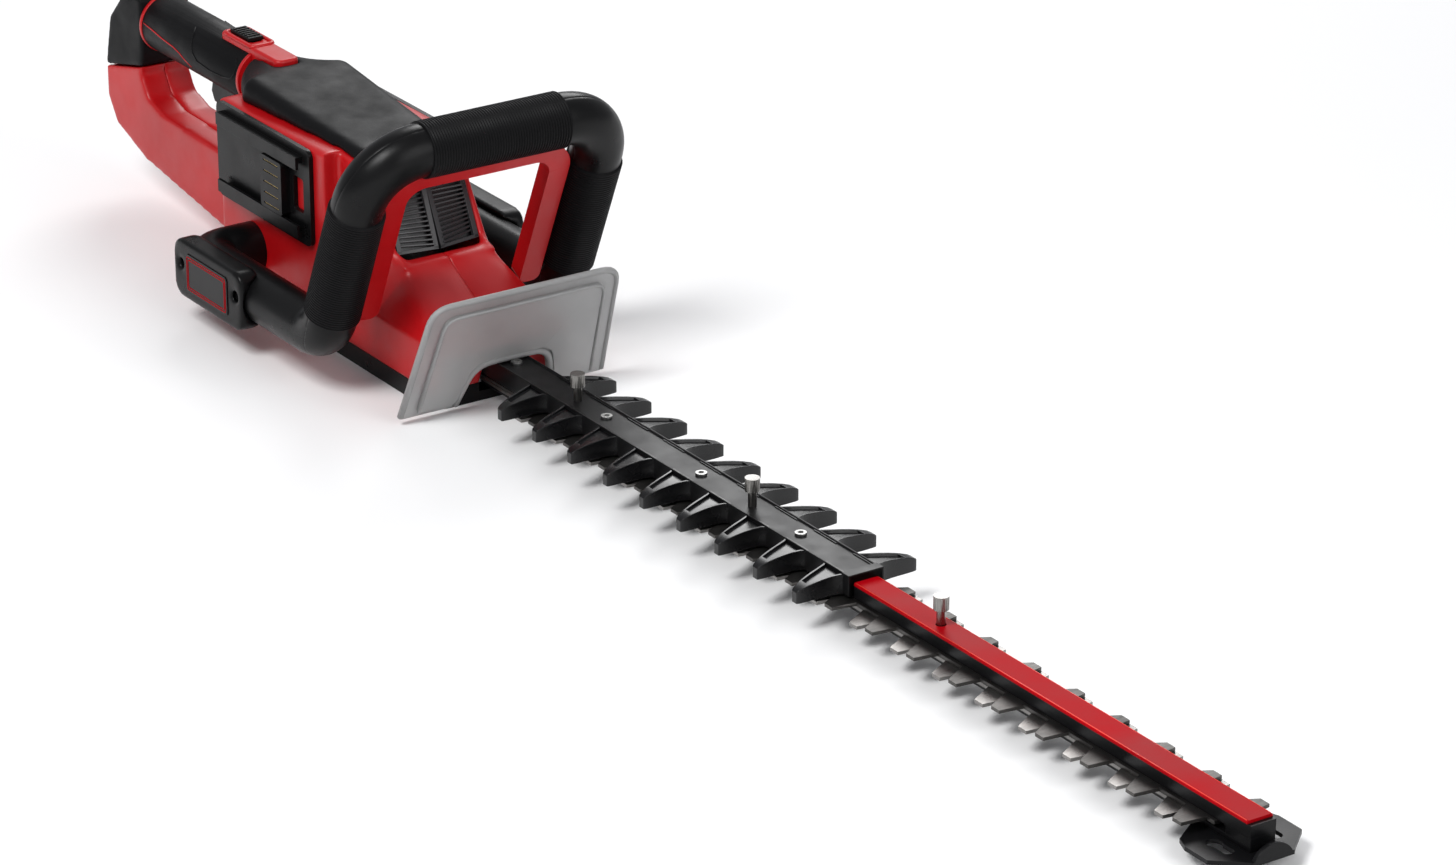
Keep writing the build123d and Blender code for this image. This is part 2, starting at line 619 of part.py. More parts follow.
with BuildPart() as motor_fan:
    with BuildSketch(Plane.XY.offset(104.0)):
        with Locations((MOTOR_X, 0)):
            Circle(21)
            Circle(MOTOR_SHAFT_R, mode=Mode.SUBTRACT)
    extrude(amount=1.5)
    with BuildSketch(Plane.XY.offset(105.5)):
        with Locations((MOTOR_X, 0)):
            with PolarLocations(14, 9):
                Rectangle(12, 1.4)
    extrude(amount=5.5)
    with BuildSketch(Plane.XY.offset(105.5)):
        with Locations((MOTOR_X, 0)):
            Circle(8.5)
            Circle(MOTOR_SHAFT_R, mode=Mode.SUBTRACT)
    extrude(amount=4.5)
motor_fan.part.label = "motor_fan"
export_step(motor_fan.part, "parts/motor_fan.step")

# ---------------------------------------------------------------- body

def body_solid(inset):
    """The body's outer form, or its inner space when inset by the wall."""
    with BuildPart() as form:
        # Dock block, tapering to the rear.
        with BuildSketch(Plane.XZ):
            with BuildLine():
                Polyline(
                    (-222, 14), (-222, 94), (-212, 102), (-190, 124), (-60, BODY_TOP_Z),
                    (-60, BODY_BOTTOM_Z),
                    close=True,
                )
            make_face()
            offset(amount=-inset, kind=Kind.INTERSECTION)
        extrude(amount=DOCK_HALF - inset, both=True)
        with BuildSketch(Plane.XY):
            with BuildLine():
                Polyline(
                    (-222, -20), (-190, -DOCK_HALF), (-60, -DOCK_HALF),
                    (-60, DOCK_HALF), (-190, DOCK_HALF), (-222, 20),
                    close=True,
                )
            make_face()
            offset(amount=-inset, kind=Kind.INTERSECTION)
        extrude(amount=200, mode=Mode.INTERSECT)
        # Gearbox shoulder with its leaning front face.
        with BuildSketch(Plane.XZ):
            with BuildLine():
                Polyline(
                    (-90, BODY_BOTTOM_Z), (-90, 42), (76, 42), (64, BODY_BOTTOM_Z),
                    close=True,
                )
            make_face()
            offset(amount=-inset, kind=Kind.INTERSECTION)
        extrude(amount=DOCK_HALF - inset, both=True)
        # Slope from the shoulder up to the tower.
        with BuildSketch(Plane.XY.offset(40 - inset)):
            with Locations(((-90 + 74) / 2, 0)):
                Rectangle(164 - 2 * inset, 2 * (DOCK_HALF - inset))
        with BuildSketch(Plane.XY.offset(78 - inset)):
            with Locations(((-90 + 2) / 2, 0)):
                Rectangle(92 - 2 * inset, 2 * (30 - inset))
        loft()
        # Tower over the motor, leaning back in front.
        with BuildSketch(Plane.XZ):
            with BuildLine():
                Polyline(
                    (-90, 50), (-90, BODY_TOP_Z), (-40, 124), (-24, 116), (5, 68), (5, 50),
                    close=True,
                )
            make_face()
            offset(amount=-inset, kind=Kind.INTERSECTION)
        extrude(amount=TOWER_HALF - inset, both=True)
    return form


def tail_solid(inset):
    """The rear loop under and behind the grip."""
    with BuildPart() as form:
        with BuildSketch(Plane.XZ):
            with BuildLine():
                Polyline(
                    (GRIP_REAR_X, 140.5), (-368, 138), (-388, 116), (-395, 86), (-395, 60),
                    (-384, 44), (-345, 30), (-230, 14), (-205, 14), (-205, 66), (-318, 68),
                    (-338, 74), (-347, 88), (GRIP_REAR_X, 103),
                    close=True,
                )
            make_face()
            offset(amount=-inset, kind=Kind.INTERSECTION)
        extrude(amount=TAIL_HALF - inset, both=True)
    return form


def neck_solid(inset):
    """The neck that widens from the grip into the body."""
    with BuildPart() as form:
        with BuildSketch(Plane.YZ.offset(GRIP_FRONT_X + inset)):
            with Locations((0, GRIP_Z)):
                Circle(GRIP_R - 3.2 - inset)
        with BuildSketch(Plane.YZ.offset(-176 + inset)):
            with Locations((0, 106)):
                RectangleRounded(70 - 2 * inset, 38 - 2 * inset, 8)
        loft()
    return form


# Guard screws, from inside the housing into blind holes in the guard's back.
GUARD_SCREW_PLACES = [(-36, 30), (36, 30)]
GUARD_SCREW_R = 1.75
GUARD_SCREW_REACH = 3.5
GUARD_SCREW_SEAT = -6.0
with BuildPart() as hand_guard_screws:
    with BuildSketch(guard_plane.offset(GUARD_SCREW_SEAT)):
        with Locations(GUARD_SCREW_PLACES):
            Circle(GUARD_SCREW_R)
    extrude(amount=GUARD_SCREW_REACH - GUARD_SCREW_SEAT)
    with BuildSketch(guard_plane.offset(GUARD_SCREW_SEAT - 2)):
        with Locations(GUARD_SCREW_PLACES):
            Circle(3.4)
    extrude(amount=2)
hand_guard_screws.part.label = "hand_guard_screws"
export_step(hand_guard_screws.part, "parts/hand_guard_screws.step")

CORE_R = GRIP_R - 3.2
body_form = body_solid(0)
tail_form = tail_solid(0)
neck_form = neck_solid(0)
body_room = body_solid(WALL)
tail_room = tail_solid(WALL)
neck_room = neck_solid(WALL)

TRIGGER_REAR_X = -272.0
TRIGGER_FRONT_X = -222.0
TRIGGER_PIN_X = TRIGGER_FRONT_X - 3.0
TRIGGER_PIN_Z = 108.0
TRIGGER_PIN_R = 1.5
TRIGGER_PIN_HALF = 9.0    # half length, so each end sits 2 mm in the housing
BUTTON_X = -231.0
SEAM_Z = 86.0
HOUSING_SCREW_R = 1.75
BOSS_R = 4.5
HEAD_DEPTH = 6.0          # how deep a screw head's seat lies below the outer face
# X, Z and half width of the body at each housing screw.
HOUSING_SCREW_PLACES = (
    (-375, 60, 18), (-290, 42, 18), (-195, 106, 22), (-180, 36, 45), (-100, 30, 45),
)
with BuildPart() as housing:
    add(body_form.part)
    add(tail_form.part)
    add(neck_form.part)
    with BuildSketch(Plane.YZ.offset(GRIP_REAR_X)):
        with Locations((0, GRIP_Z)):
            Circle(CORE_R)
    extrude(amount=GRIP_FRONT_X - GRIP_REAR_X)
    add(body_room.part, mode=Mode.SUBTRACT)
    add(tail_room.part, mode=Mode.SUBTRACT)
    add(neck_room.part, mode=Mode.SUBTRACT)
    with BuildSketch(Plane.YZ.offset(GRIP_REAR_X - 8)):
        with Locations((0, GRIP_Z)):
            Circle(CORE_R - WALL)
    extrude(amount=GRIP_FRONT_X - GRIP_REAR_X + 14, mode=Mode.SUBTRACT)
    # Bosses for the housing screws, with the head seats on the left.
    for x, z, half in HOUSING_SCREW_PLACES:
        with BuildSketch(Plane.XZ):
            with Locations((x, z)):
                Circle(BOSS_R)
        extrude(amount=half - 1, both=True)
        with BuildSketch(Plane.XZ):
            with Locations((x, z)):
                Circle(HOUSING_SCREW_R)
        extrude(amount=half - HEAD_DEPTH, both=True, mode=Mode.SUBTRACT)
        with BuildSketch(Plane.XZ.offset(HEAD_DEPTH - half)):
            with Locations((x, z)):
                Circle(3.6)
        extrude(amount=-20, mode=Mode.SUBTRACT)
    # The rear cap's share of the tail, above the seam.
    with BuildSketch(Plane.XZ):
        with BuildLine():
            Polyline(
                (GRIP_REAR_X, SEAM_Z + 8), (-400, SEAM_Z - 6), (-400, 150), (GRIP_REAR_X, 150),
                close=True,
            )
        make_face()
    extrude(amount=TAIL_HALF + 1, both=True, mode=Mode.SUBTRACT)
    # Slots for the trigger below and the lock button above.
    with Locations(((TRIGGER_REAR_X + TRIGGER_FRONT_X) / 2, 0, 108)):
        Box(TRIGGER_FRONT_X - TRIGGER_REAR_X + 8, 14, 24, mode=Mode.SUBTRACT)
    with Locations((BUTTON_X, 0, 138)):
        Box(22, 9, 16, mode=Mode.SUBTRACT)
    with BuildSketch(Plane.XZ):
        with Locations((TRIGGER_PIN_X, TRIGGER_PIN_Z)):
            Circle(TRIGGER_PIN_R)
    extrude(amount=TRIGGER_PIN_HALF, both=True, mode=Mode.SUBTRACT)
    # Opening under the gear, covered by the base plate.
    with Locations((-29, 0, BODY_BOTTOM_Z)):
        Box(182, 2 * (DOCK_HALF - 5), 2 * WALL + 2, mode=Mode.SUBTRACT)
    # Opening for the rail and the tooth guard.
    with Locations((68, 0, 20)):
        Box(40, 2 * CHANNEL_HALF + 1, 27, mode=Mode.SUBTRACT)
    add(hand_guard_screws.part, mode=Mode.SUBTRACT)
    # Window for the vent grilles.
    with BuildSketch(Plane.XZ):
        with BuildLine():
            Polyline((-36, 74), (12, 74), (12, 110), (-36, 110), close=True)
        make_face()
    extrude(amount=28, both=True, mode=Mode.SUBTRACT)

# Screws that draw the halves together, from the left side.
with BuildPart() as housing_screws:
    for x, z, half in HOUSING_SCREW_PLACES:
        with BuildSketch(Plane.XZ):
            with Locations((x, z)):
                Circle(HOUSING_SCREW_R)
        extrude(amount=half - HEAD_DEPTH, both=True)
        with BuildSketch(Plane.XZ.offset(HEAD_DEPTH - half)):
            with Locations((x, z)):
                Circle(3.4)
        extrude(amount=-2)
housing_screws.part.label = "housing_screws"
export_step(housing_screws.part, "parts/housing_screws.step")

# Two clamshell halves meet on the middle plane.
with BuildPart() as housing_right:
    add(housing.part)
    split(bisect_by=Plane.XZ, keep=Keep.TOP)
housing_right.part.label = "housing_right"
export_step(housing_right.part, "parts/housing_right.step")

with BuildPart() as housing_left:
    add(housing.part)
    split(bisect_by=Plane.XZ, keep=Keep.BOTTOM)
housing_left.part.label = "housing_left"
export_step(housing_left.part, "parts/housing_left.step")

# Rear cap of the handle, above the seam.
with BuildPart() as rear_cap:
    add(tail_form.part)
    add(tail_room.part, mode=Mode.SUBTRACT)
    with BuildSketch(Plane.XZ):
        with BuildLine():
            Polyline(
                (GRIP_REAR_X, SEAM_Z + 8), (-400, SEAM_Z - 6), (-400, 150), (GRIP_REAR_X, 150),
                close=True,
            )
        make_face()
    extrude(amount=TAIL_HALF + 1, both=True, mode=Mode.INTERSECT)
    with BuildSketch(Plane.YZ.offset(GRIP_REAR_X - 8)):
        with Locations((0, GRIP_Z)):
            Circle(CORE_R - WALL)
    extrude(amount=10, mode=Mode.SUBTRACT)
rear_cap.part.label = "rear_cap"
export_step(rear_cap.part, "parts/rear_cap.step")

# Red surround of the lock button, let into the grip and running on over the neck.
SURROUND_REAR_X = -254.0
SURROUND_FRONT_X = -180.0
with BuildPart() as switch_surround:
    with BuildSketch(Plane.XY.offset(134.5)):
        with Locations(((SURROUND_REAR_X + SURROUND_FRONT_X) / 2, 0)):
            RectangleRounded(SURROUND_FRONT_X - SURROUND_REAR_X, 17, 5)
        with Locations((BUTTON_X, 0)):
            RectangleRounded(21, 8.4, 2, mode=Mode.SUBTRACT)
    extrude(amount=8.5)
    fillet(switch_surround.faces().sort_by(Axis.Z)[-1].outer_wire().edges(), radius=2.0)
    add(neck_form.part, mode=Mode.SUBTRACT)
    with BuildSketch(Plane.YZ.offset(SURROUND_REAR_X - 5)):
        with Locations((0, GRIP_Z)):
            Circle(CORE_R)
    extrude(amount=SURROUND_FRONT_X - SURROUND_REAR_X, mode=Mode.SUBTRACT)
switch_surround.part.label = "switch_surround"
export_step(switch_surround.part, "parts/switch_surround.step")

# Soft cover over the top of the body and the neck.
with BuildPart() as surround_space:
    with BuildSketch(Plane.XY.offset(134.5)):
        with Locations(((SURROUND_REAR_X + SURROUND_FRONT_X) / 2, 0)):
            RectangleRounded(SURROUND_FRONT_X - SURROUND_REAR_X, 17, 5)
    extrude(amount=12)

with BuildPart() as top_cover:
    with BuildSketch(Plane.YZ.offset(GRIP_FRONT_X + 4)):
        with Locations((0, GRIP_Z)):
            Circle(GRIP_R + 0.6)
    with BuildSketch(Plane.YZ.offset(-172)):
        with Locations((0, 121)):
            RectangleRounded(76, 38, 12)
    loft()
    with BuildSketch(Plane.YZ.offset(-172)):
        with Locations((0, 130)):
            RectangleRounded(76, 20, 8)
    with BuildSketch(Plane.YZ.offset(-24)):
        with Locations((0, 121)):
            RectangleRounded(62, 16, 7)
    loft()
    add(body_form.part, mode=Mode.SUBTRACT)
    add(neck_form.part, mode=Mode.SUBTRACT)
    with BuildSketch(Plane.YZ.offset(-240)):
        with Locations((0, GRIP_Z)):
            Circle(CORE_R)
    extrude(amount=60, mode=Mode.SUBTRACT)
    with Locations((-190, 0, 92)):
        Box(60, 120, 20, mode=Mode.SUBTRACT)
    add(surround_space.part, mode=Mode.SUBTRACT)
top_cover.part.label = "top_cover"
export_step(top_cover.part, "parts/top_cover.step")

# Base plate, a tray under the gearbox that the tool stands on.
with BuildPart() as base_plate:
    with BuildSketch(Plane.XY):
        with Locations((-29, 0)):
            RectangleRounded(182, 2 * DOCK_HALF - 2, 12)
    extrude(amount=BODY_BOTTOM_Z)
    with BuildSketch(Plane.XY.offset(WALL)):
        with Locations((-29, 0)):
            RectangleRounded(176, 2 * DOCK_HALF - 8, 9)
    extrude(amount=BODY_BOTTOM_Z, mode=Mode.SUBTRACT)
    with Locations((62, 0, BODY_BOTTOM_Z)):
        Box(20, 2 * CHANNEL_HALF + 1, 2 * (BODY_BOTTOM_Z - KEEPER_BOTTOM_Z + 4), mode=Mode.SUBTRACT)
base_plate.part.label = "base_plate"
export_step(base_plate.part, "parts/base_plate.step")

# Vent grilles in the tower's front window, one on each side of the middle.
GRILLE_TOP = (-21.5, 110.0)
GRILLE_FOOT = (1.5, 74.0)
for name, side in (("vent_grille_right", -1), ("vent_grille_left", 1)):
    with BuildPart() as grille:
        with BuildSketch(Plane.XZ.offset(0)):
            with BuildLine():
                Polyline(
                    GRILLE_FOOT, GRILLE_TOP, (GRILLE_TOP[0] - 3.0, GRILLE_TOP[1]),
                    (GRILLE_FOOT[0] - 3.0, GRILLE_FOOT[1]),
                    close=True,
                )
            make_face()
        extrude(amount=-side * 28)
        with BuildSketch(Plane.YZ.offset(-60)):
            with GridLocations(1, 2.9, 1, 10):
                with Locations((side * 14.5, 92)):
                    RectangleRounded(22, 1.5, 0.7)
        extrude(amount=80, mode=Mode.SUBTRACT)
    grille.part.label = name
    export_step(grille.part, f"parts/{name}.step")

# ---------------------------------------------------------------- handle

with BuildPart() as rear_grip:
    with BuildSketch(Plane.YZ.offset(GRIP_REAR_X + 3)):
        with Locations((0, GRIP_Z)):
            Circle(GRIP_R)
            Circle(CORE_R, mode=Mode.SUBTRACT)
    extrude(amount=GRIP_FRONT_X - GRIP_REAR_X - 6)
    with Locations(((TRIGGER_REAR_X + TRIGGER_FRONT_X) / 2, 0, 104)):
        Box(TRIGGER_FRONT_X - TRIGGER_REAR_X + 8, 14, 14, mode=Mode.SUBTRACT)
    add(surround_space.part, mode=Mode.SUBTRACT)
    with BuildSketch(Plane.XZ):
        with Locations((TRIGGER_PIN_X, TRIGGER_PIN_Z)):
            Circle(TRIGGER_PIN_R)
    extrude(amount=TRIGGER_PIN_HALF, both=True, mode=Mode.SUBTRACT)
rear_grip.part.label = "rear_grip"
export_step(rear_grip.part, "parts/rear_grip.step")

RING_WIDTH = 3.0
with BuildPart() as grip_rings:
    for start in (GRIP_REAR_X, GRIP_FRONT_X - RING_WIDTH):
        with BuildSketch(Plane.YZ.offset(start)):
            with Locations((0, GRIP_Z)):
                Circle(GRIP_R + 0.5)
                Circle(CORE_R, mode=Mode.SUBTRACT)
        extrude(amount=RING_WIDTH)
    add(surround_space.part, mode=Mode.SUBTRACT)
grip_rings.part.label = "grip_rings"
export_step(grip_rings.part, "parts/grip_rings.step")

with BuildPart() as lock_button:
    with BuildSketch(Plane.XY.offset(132.0)):
        with Locations((BUTTON_X - 2.5, 0)):
            RectangleRounded(14, 7.4, 1.5)
    extrude(amount=12.0)
    with BuildSketch(Plane.XY.offset(143.4)):
        with GridLocations(2.4, 1, 5, 1):
            with Locations((BUTTON_X - 2.5, 0)):
                Rectangle(0.9, 8)
    extrude(amount=2, mode=Mode.SUBTRACT)
lock_button.part.label = "lock_button"
export_step(lock_button.part, "parts/lock_button.step")

# Trigger under the grip, on a pin at its front end.
with BuildPart() as trigger:
    with BuildSketch(Plane.XZ):
        with BuildLine():
            Polyline(
                (TRIGGER_FRONT_X, 112), (TRIGGER_FRONT_X, 101), (-232, 93), (-256, 89.5),
                (-268, 90), (TRIGGER_REAR_X, 97), (-270, 104), (-240, 106), (-230, 112),
                close=True,
            )
        make_face()
    extrude(amount=6, both=True)
    fillet(trigger.faces().group_by(Axis.Z)[0].edges().filter_by(Axis.X, reverse=True), radius=1.5)
    with BuildSketch(Plane.XZ):
        with Locations((TRIGGER_PIN_X, TRIGGER_PIN_Z)):
            Circle(TRIGGER_PIN_R + 0.05)
    extrude(amount=8, both=True, mode=Mode.SUBTRACT)
trigger.part.label = "trigger"
export_step(trigger.part, "parts/trigger.step")

with BuildPart() as trigger_pin:
    with BuildSketch(Plane.XZ):
        with Locations((TRIGGER_PIN_X, TRIGGER_PIN_Z)):
            Circle(TRIGGER_PIN_R)
    extrude(amount=TRIGGER_PIN_HALF, both=True)
trigger_pin.part.label = "trigger_pin"
export_step(trigger_pin.part, "parts/trigger_pin.step")

with BuildPart() as trigger_switch:
    with Locations((-252, 0, 124)):
        Box(20, 8, 11)
    with Locations((-254, 0, 116.5)):
        Box(3, 3, 4)
trigger_switch.part.label = "trigger_switch"
export_step(trigger_switch.part, "parts/trigger_switch.step")

# ---------------------------------------------------------------- battery docks

DOCK_X = -130.0
DOCK_Z = 93.0
for name, side in (("right", -1), ("left", 1)):
    with BuildPart() as dock:
        with BuildSketch(Plane.XZ.offset(-side * DOCK_HALF)):
            with Locations((DOCK_X, DOCK_Z)):
                RectangleRounded(116, 62, 5)
        extrude(amount=-side * 3)
        # Two rails with an outward lip each, which hold the pack's grooves.
        with BuildSketch(Plane.XZ.offset(-side * (DOCK_HALF + 3))):
            with Locations((DOCK_X, DOCK_Z + 24), (DOCK_X, DOCK_Z - 24)):
                Rectangle(100, 4)
        extrude(amount=-side * 5)
        with BuildSketch(Plane.XZ.offset(-side * (DOCK_HALF + 6))):
            with Locations((DOCK_X, DOCK_Z + 22), (DOCK_X, DOCK_Z - 22)):
                Rectangle(100, 8)
        extrude(amount=-side * 2)
        with BuildSketch(Plane.XZ.offset(-side * (DOCK_HALF - 1))):
            with Locations((DOCK_X + 44, DOCK_Z)):
                RectangleRounded(12, 22, 2)
        extrude(amount=-side * 6, mode=Mode.SUBTRACT)
    dock.part.label = f"battery_dock_{name}"
    export_step(dock.part, f"parts/battery_dock_{name}.step")

with BuildPart() as terminal_blocks:
    for side in (-1, 1):
        with BuildSketch(Plane.XZ.offset(-side * (DOCK_HALF + 3))):
            with Locations((DOCK_X + 20, DOCK_Z)):
                RectangleRounded(26, 34, 2)
                with GridLocations(1, 7, 1, 5):
                    Rectangle(18, 0.9, mode=Mode.SUBTRACT)
        extrude(amount=-side * 6)
terminal_blocks.part.label = "terminal_blocks"
export_step(terminal_blocks.part, "parts/terminal_blocks.step")

with BuildPart() as terminal_blades:
    for side in (-1, 1):
        with BuildSketch(Plane.XZ.offset(-side * (DOCK_HALF + 3))):
            with Locations((DOCK_X + 20, DOCK_Z)):
                with GridLocations(1, 7, 1, 5):
                    Rectangle(18, 0.9)
        extrude(amount=-side * 5.5)
terminal_blades.part.label = "terminal_blades"
export_step(terminal_blades.part, "parts/terminal_blades.step")

# ---------------------------------------------------------------- electronics inside

with BuildPart() as controller_board:
    with Locations((-132, 0, 60)):
        Box(90, 60, 1.6)
    with Locations((-150, -12, 64.8), (-118, 14, 64.8)):
        Box(16, 20, 8)
controller_board.part.label = "controller_board"
export_step(controller_board.part, "parts/controller_board.step")

with BuildPart() as board_tray:
    with Locations((-132, 0, 56.2)):
        Box(100, 2 * (DOCK_HALF - WALL), 3)
    with Locations((-175, 0, 58.45), (-89, 0, 58.45)):
        Box(4, 60, 1.5)
board_tray.part.label = "board_tray"
export_step(board_tray.part, "parts/board_tray.step")

# ---------------------------------------------------------------- bail

ARM_TURN_Y = DOCK_HALF
TOP_RADIUS = 34.0
FOOT_RADIUS = 26.0


def bail_solid(radius):
    """A round bar along the bail: arm, leg, top, leg and arm, for the given bar radius."""
    with BuildPart() as bar:
        with BuildLine() as path:
            FilletPolyline(
                (ARM_REAR_X, -ARM_TURN_Y, BAIL_FOOT[1]),
                (ARM_REAR_X, -BAIL_HALF, BAIL_FOOT[1]),
                bail_point(-BAIL_HALF, 0),
                bail_point(-BAIL_HALF, BAIL_HEIGHT),
                bail_point(BAIL_HALF, BAIL_HEIGHT),
                bail_point(BAIL_HALF, 0),
                (ARM_REAR_X, BAIL_HALF, BAIL_FOOT[1]),
                (ARM_REAR_X, ARM_TURN_Y, BAIL_FOOT[1]),
                radius=(17.0, FOOT_RADIUS, TOP_RADIUS, TOP_RADIUS, FOOT_RADIUS, 17.0),
            )
        with BuildSketch(Plane(path.line @ 0, z_dir=path.line % 0)):
            Circle(radius)
        sweep()
    return bar


bail_outside = bail_solid(BAIL_R)
bail_inside = bail_solid(BAIL_R - BAIL_WALL)
with BuildPart() as bail_shells:
    add(bail_outside.part)
    add(bail_inside.part, mode=Mode.SUBTRACT)
    # Pin holes for the switch bar.
    with BuildSketch(Plane.XZ):
        with Locations((pivot_x, pivot_z)):
            Circle(BAR_PIN_R)
    extrude(amount=BAR_PIN_INNER + BAR_PIN_LENGTH, both=True, mode=Mode.SUBTRACT)

with BuildPart() as bail_front_shell:
    add(bail_shells.part)
    split(bisect_by=bail_plane, keep=Keep.TOP)
bail_front_shell.part.label = "bail_front_shell"
export_step(bail_front_shell.part, "parts/bail_front_shell.step")

with BuildPart() as bail_rear_shell:
    add(bail_shells.part)
    split(bisect_by=bail_plane, keep=Keep.BOTTOM)
bail_rear_shell.part.label = "bail_rear_shell"
export_step(bail_rear_shell.part, "parts/bail_rear_shell.step")

# Ribbed grip sleeves on the two legs and on the top.
SLEEVE_R = BAIL_R + SLEEVE_THICKNESS


def sleeve(start, end, ribs):
    """A ribbed sleeve round the straight bar between two points."""
    direction = Vector(*end) - Vector(*start)
    length = direction.length
    with BuildPart() as piece:
        with BuildSketch(Plane(start, z_dir=direction)):
            Circle(SLEEVE_R - 0.5)
            Circle(BAIL_R, mode=Mode.SUBTRACT)
        extrude(amount=length)
        for index in range(ribs):
            station = Vector(*start) + direction * ((index + 0.25) / ribs)
            with BuildSketch(Plane(station, z_dir=direction)):
                Circle(SLEEVE_R)
                Circle(BAIL_R, mode=Mode.SUBTRACT)
            extrude(amount=length / ribs * 0.5)
    return piece


for name, y in (("leg_sleeve_right", -BAIL_HALF), ("leg_sleeve_left", BAIL_HALF)):
    leg_sleeve = sleeve(bail_point(y, 28), bail_point(y, 102), 26)
    leg_sleeve.part.label = name
    export_step(leg_sleeve.part, f"parts/{name}.step")
top_sleeve = sleeve(bail_point(-45, BAIL_HEIGHT), bail_point(45, BAIL_HEIGHT), 32)
top_sleeve.part.label = "top_sleeve"
export_step(top_sleeve.part, "parts/top_sleeve.step")

# Switch bar inside the loop, on two pins at its lower ends.
BAR_TOP_S = 121.5
BAR_TOP_HEIGHT = 12.0
with BuildPart() as switch_bar:
    with BuildSketch(bail_plane.offset(BAR_OFFSET)):
        with BuildLine():
            FilletPolyline(
                (-BAR_OUTER, BAR_PIVOT_S - 6), (-BAR_OUTER, BAR_TOP_S), (BAR_OUTER, BAR_TOP_S),
                (BAR_OUTER, BAR_PIVOT_S - 6), (BAR_OUTER - BAR_WIDTH, BAR_PIVOT_S - 6),
                (BAR_OUTER - BAR_WIDTH, BAR_TOP_S - BAR_TOP_HEIGHT),
                (BAR_WIDTH - BAR_OUTER, BAR_TOP_S - BAR_TOP_HEIGHT),
                (BAR_WIDTH - BAR_OUTER, BAR_PIVOT_S - 6),
                radius=(5, 22, 22, 5, 5, 12, 12, 5),
                close=True,
            )
        make_face()
    extrude(amount=BAR_DEPTH)
    # Blind pin holes, open towards the tube.
    for side in (-1, 1):
        with BuildSketch(Plane.XZ.offset(-side * BAR_PIN_INNER)):
            with Locations((pivot_x, pivot_z)):
                Circle(BAR_PIN_R + 0.05)
        extrude(amount=-side * BAR_WIDTH, mode=Mode.SUBTRACT)
switch_bar.part.label = "switch_bar"
export_step(switch_bar.part, "parts/switch_bar.step")

with BuildPart() as switch_bar_pins:
    for side in (-1, 1):
        with BuildSketch(Plane.XZ.offset(-side * (BAR_PIN_INNER + 0.1))):
            with Locations((pivot_x, pivot_z)):
                Circle(BAR_PIN_R)
        extrude(amount=-side * (BAR_PIN_LENGTH - 0.1))
switch_bar_pins.part.label = "switch_bar_pins"
export_step(switch_bar_pins.part, "parts/switch_bar_pins.step")

# Plates on the outside of both arms, each held by two screws.
PLATE_REAR_X = -152.0
PLATE_FRONT_X = -66.0
PLATE_HALF_Z = 19.0
for name, side in (("right", -1), ("left", 1)):
    with BuildPart() as arm_plate:
        with BuildSketch(Plane.XZ.offset(-side * (BAIL_HALF + 4))):
            with Locations(((PLATE_REAR_X + PLATE_FRONT_X) / 2, BAIL_FOOT[1])):
                RectangleRounded(PLATE_FRONT_X - PLATE_REAR_X, 2 * PLATE_HALF_Z, 9)
        extrude(amount=-side * 15)
        add(bail_outside.part, mode=Mode.SUBTRACT)
        with BuildSketch(Plane.XZ.offset(-side * (BAIL_HALF + 10))):
            with Locations((PLATE_REAR_X + 9, BAIL_FOOT[1] + 3), (PLATE_FRONT_X - 9, BAIL_FOOT[1] + 3)):
                Circle(3.4)
        extrude(amount=-side * 12, mode=Mode.SUBTRACT)
    arm_plate.part.label = f"arm_plate_{name}"
    export_step(arm_plate.part, f"parts/arm_plate_{name}.step")

# Plain badge film on each plate.
with BuildPart() as arm_badges:
    for side in (-1, 1):
        with BuildSketch(Plane.XZ.offset(-side * (BAIL_HALF + 19))):
            with Locations(((PLATE_REAR_X + PLATE_FRONT_X) / 2, BAIL_FOOT[1])):
                RectangleRounded(52, 25, 3)
        extrude(amount=-side * 0.6)
arm_badges.part.label = "arm_badges"
export_step(arm_badges.part, "parts/arm_badges.step")

# ---------------------------------------------------------------- hand guard

GUARD_HEIGHT = 84.0
GUARD_LOW_HALF = 70.5
GUARD_TOP_HALF = 64.0
ARCH_HALF = 29.0
ARCH_TOP = 30.0
with BuildPart() as hand_guard:
    with BuildSketch(guard_plane):
        with BuildLine():
            FilletPolyline(
                (-GUARD_LOW_HALF, 0), (-GUARD_TOP_HALF, GUARD_HEIGHT),
                (GUARD_TOP_HALF, GUARD_HEIGHT), (GUARD_LOW_HALF, 0), (ARCH_HALF + 4, 0),
                (ARCH_HALF - 4, ARCH_TOP), (4 - ARCH_HALF, ARCH_TOP), (-ARCH_HALF - 4, 0),
                radius=(2, 12, 12, 2, 3, 12, 12, 3),
                close=True,
            )
        make_face()
    extrude(amount=GUARD_THICKNESS)
    # Raised inner panel, stepped in from the edge.
    with BuildSketch(guard_plane.offset(GUARD_THICKNESS)):
        with BuildLine():
            FilletPolyline(
                (10 - GUARD_LOW_HALF, 4), (9 - GUARD_TOP_HALF, GUARD_HEIGHT - 8),
                (GUARD_TOP_HALF - 9, GUARD_HEIGHT - 8), (GUARD_LOW_HALF - 10, 4),
                (ARCH_HALF + 6, 4), (ARCH_HALF - 2, ARCH_TOP + 4), (2 - ARCH_HALF, ARCH_TOP + 4),
                (-ARCH_HALF - 6, 4),
                radius=(2, 8, 8, 2, 3, 12, 12, 3),
                close=True,
            )
        make_face()
    extrude(amount=2.0)
    with BuildSketch(guard_plane):
        with Locations(GUARD_SCREW_PLACES):
            Circle(GUARD_SCREW_R)
    extrude(amount=GUARD_SCREW_REACH, mode=Mode.SUBTRACT)
hand_guard.part.label = "hand_guard"
export_step(hand_guard.part, "parts/hand_guard.step")
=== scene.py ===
import json
import logging
import math
from dataclasses import dataclass
from enum import Enum

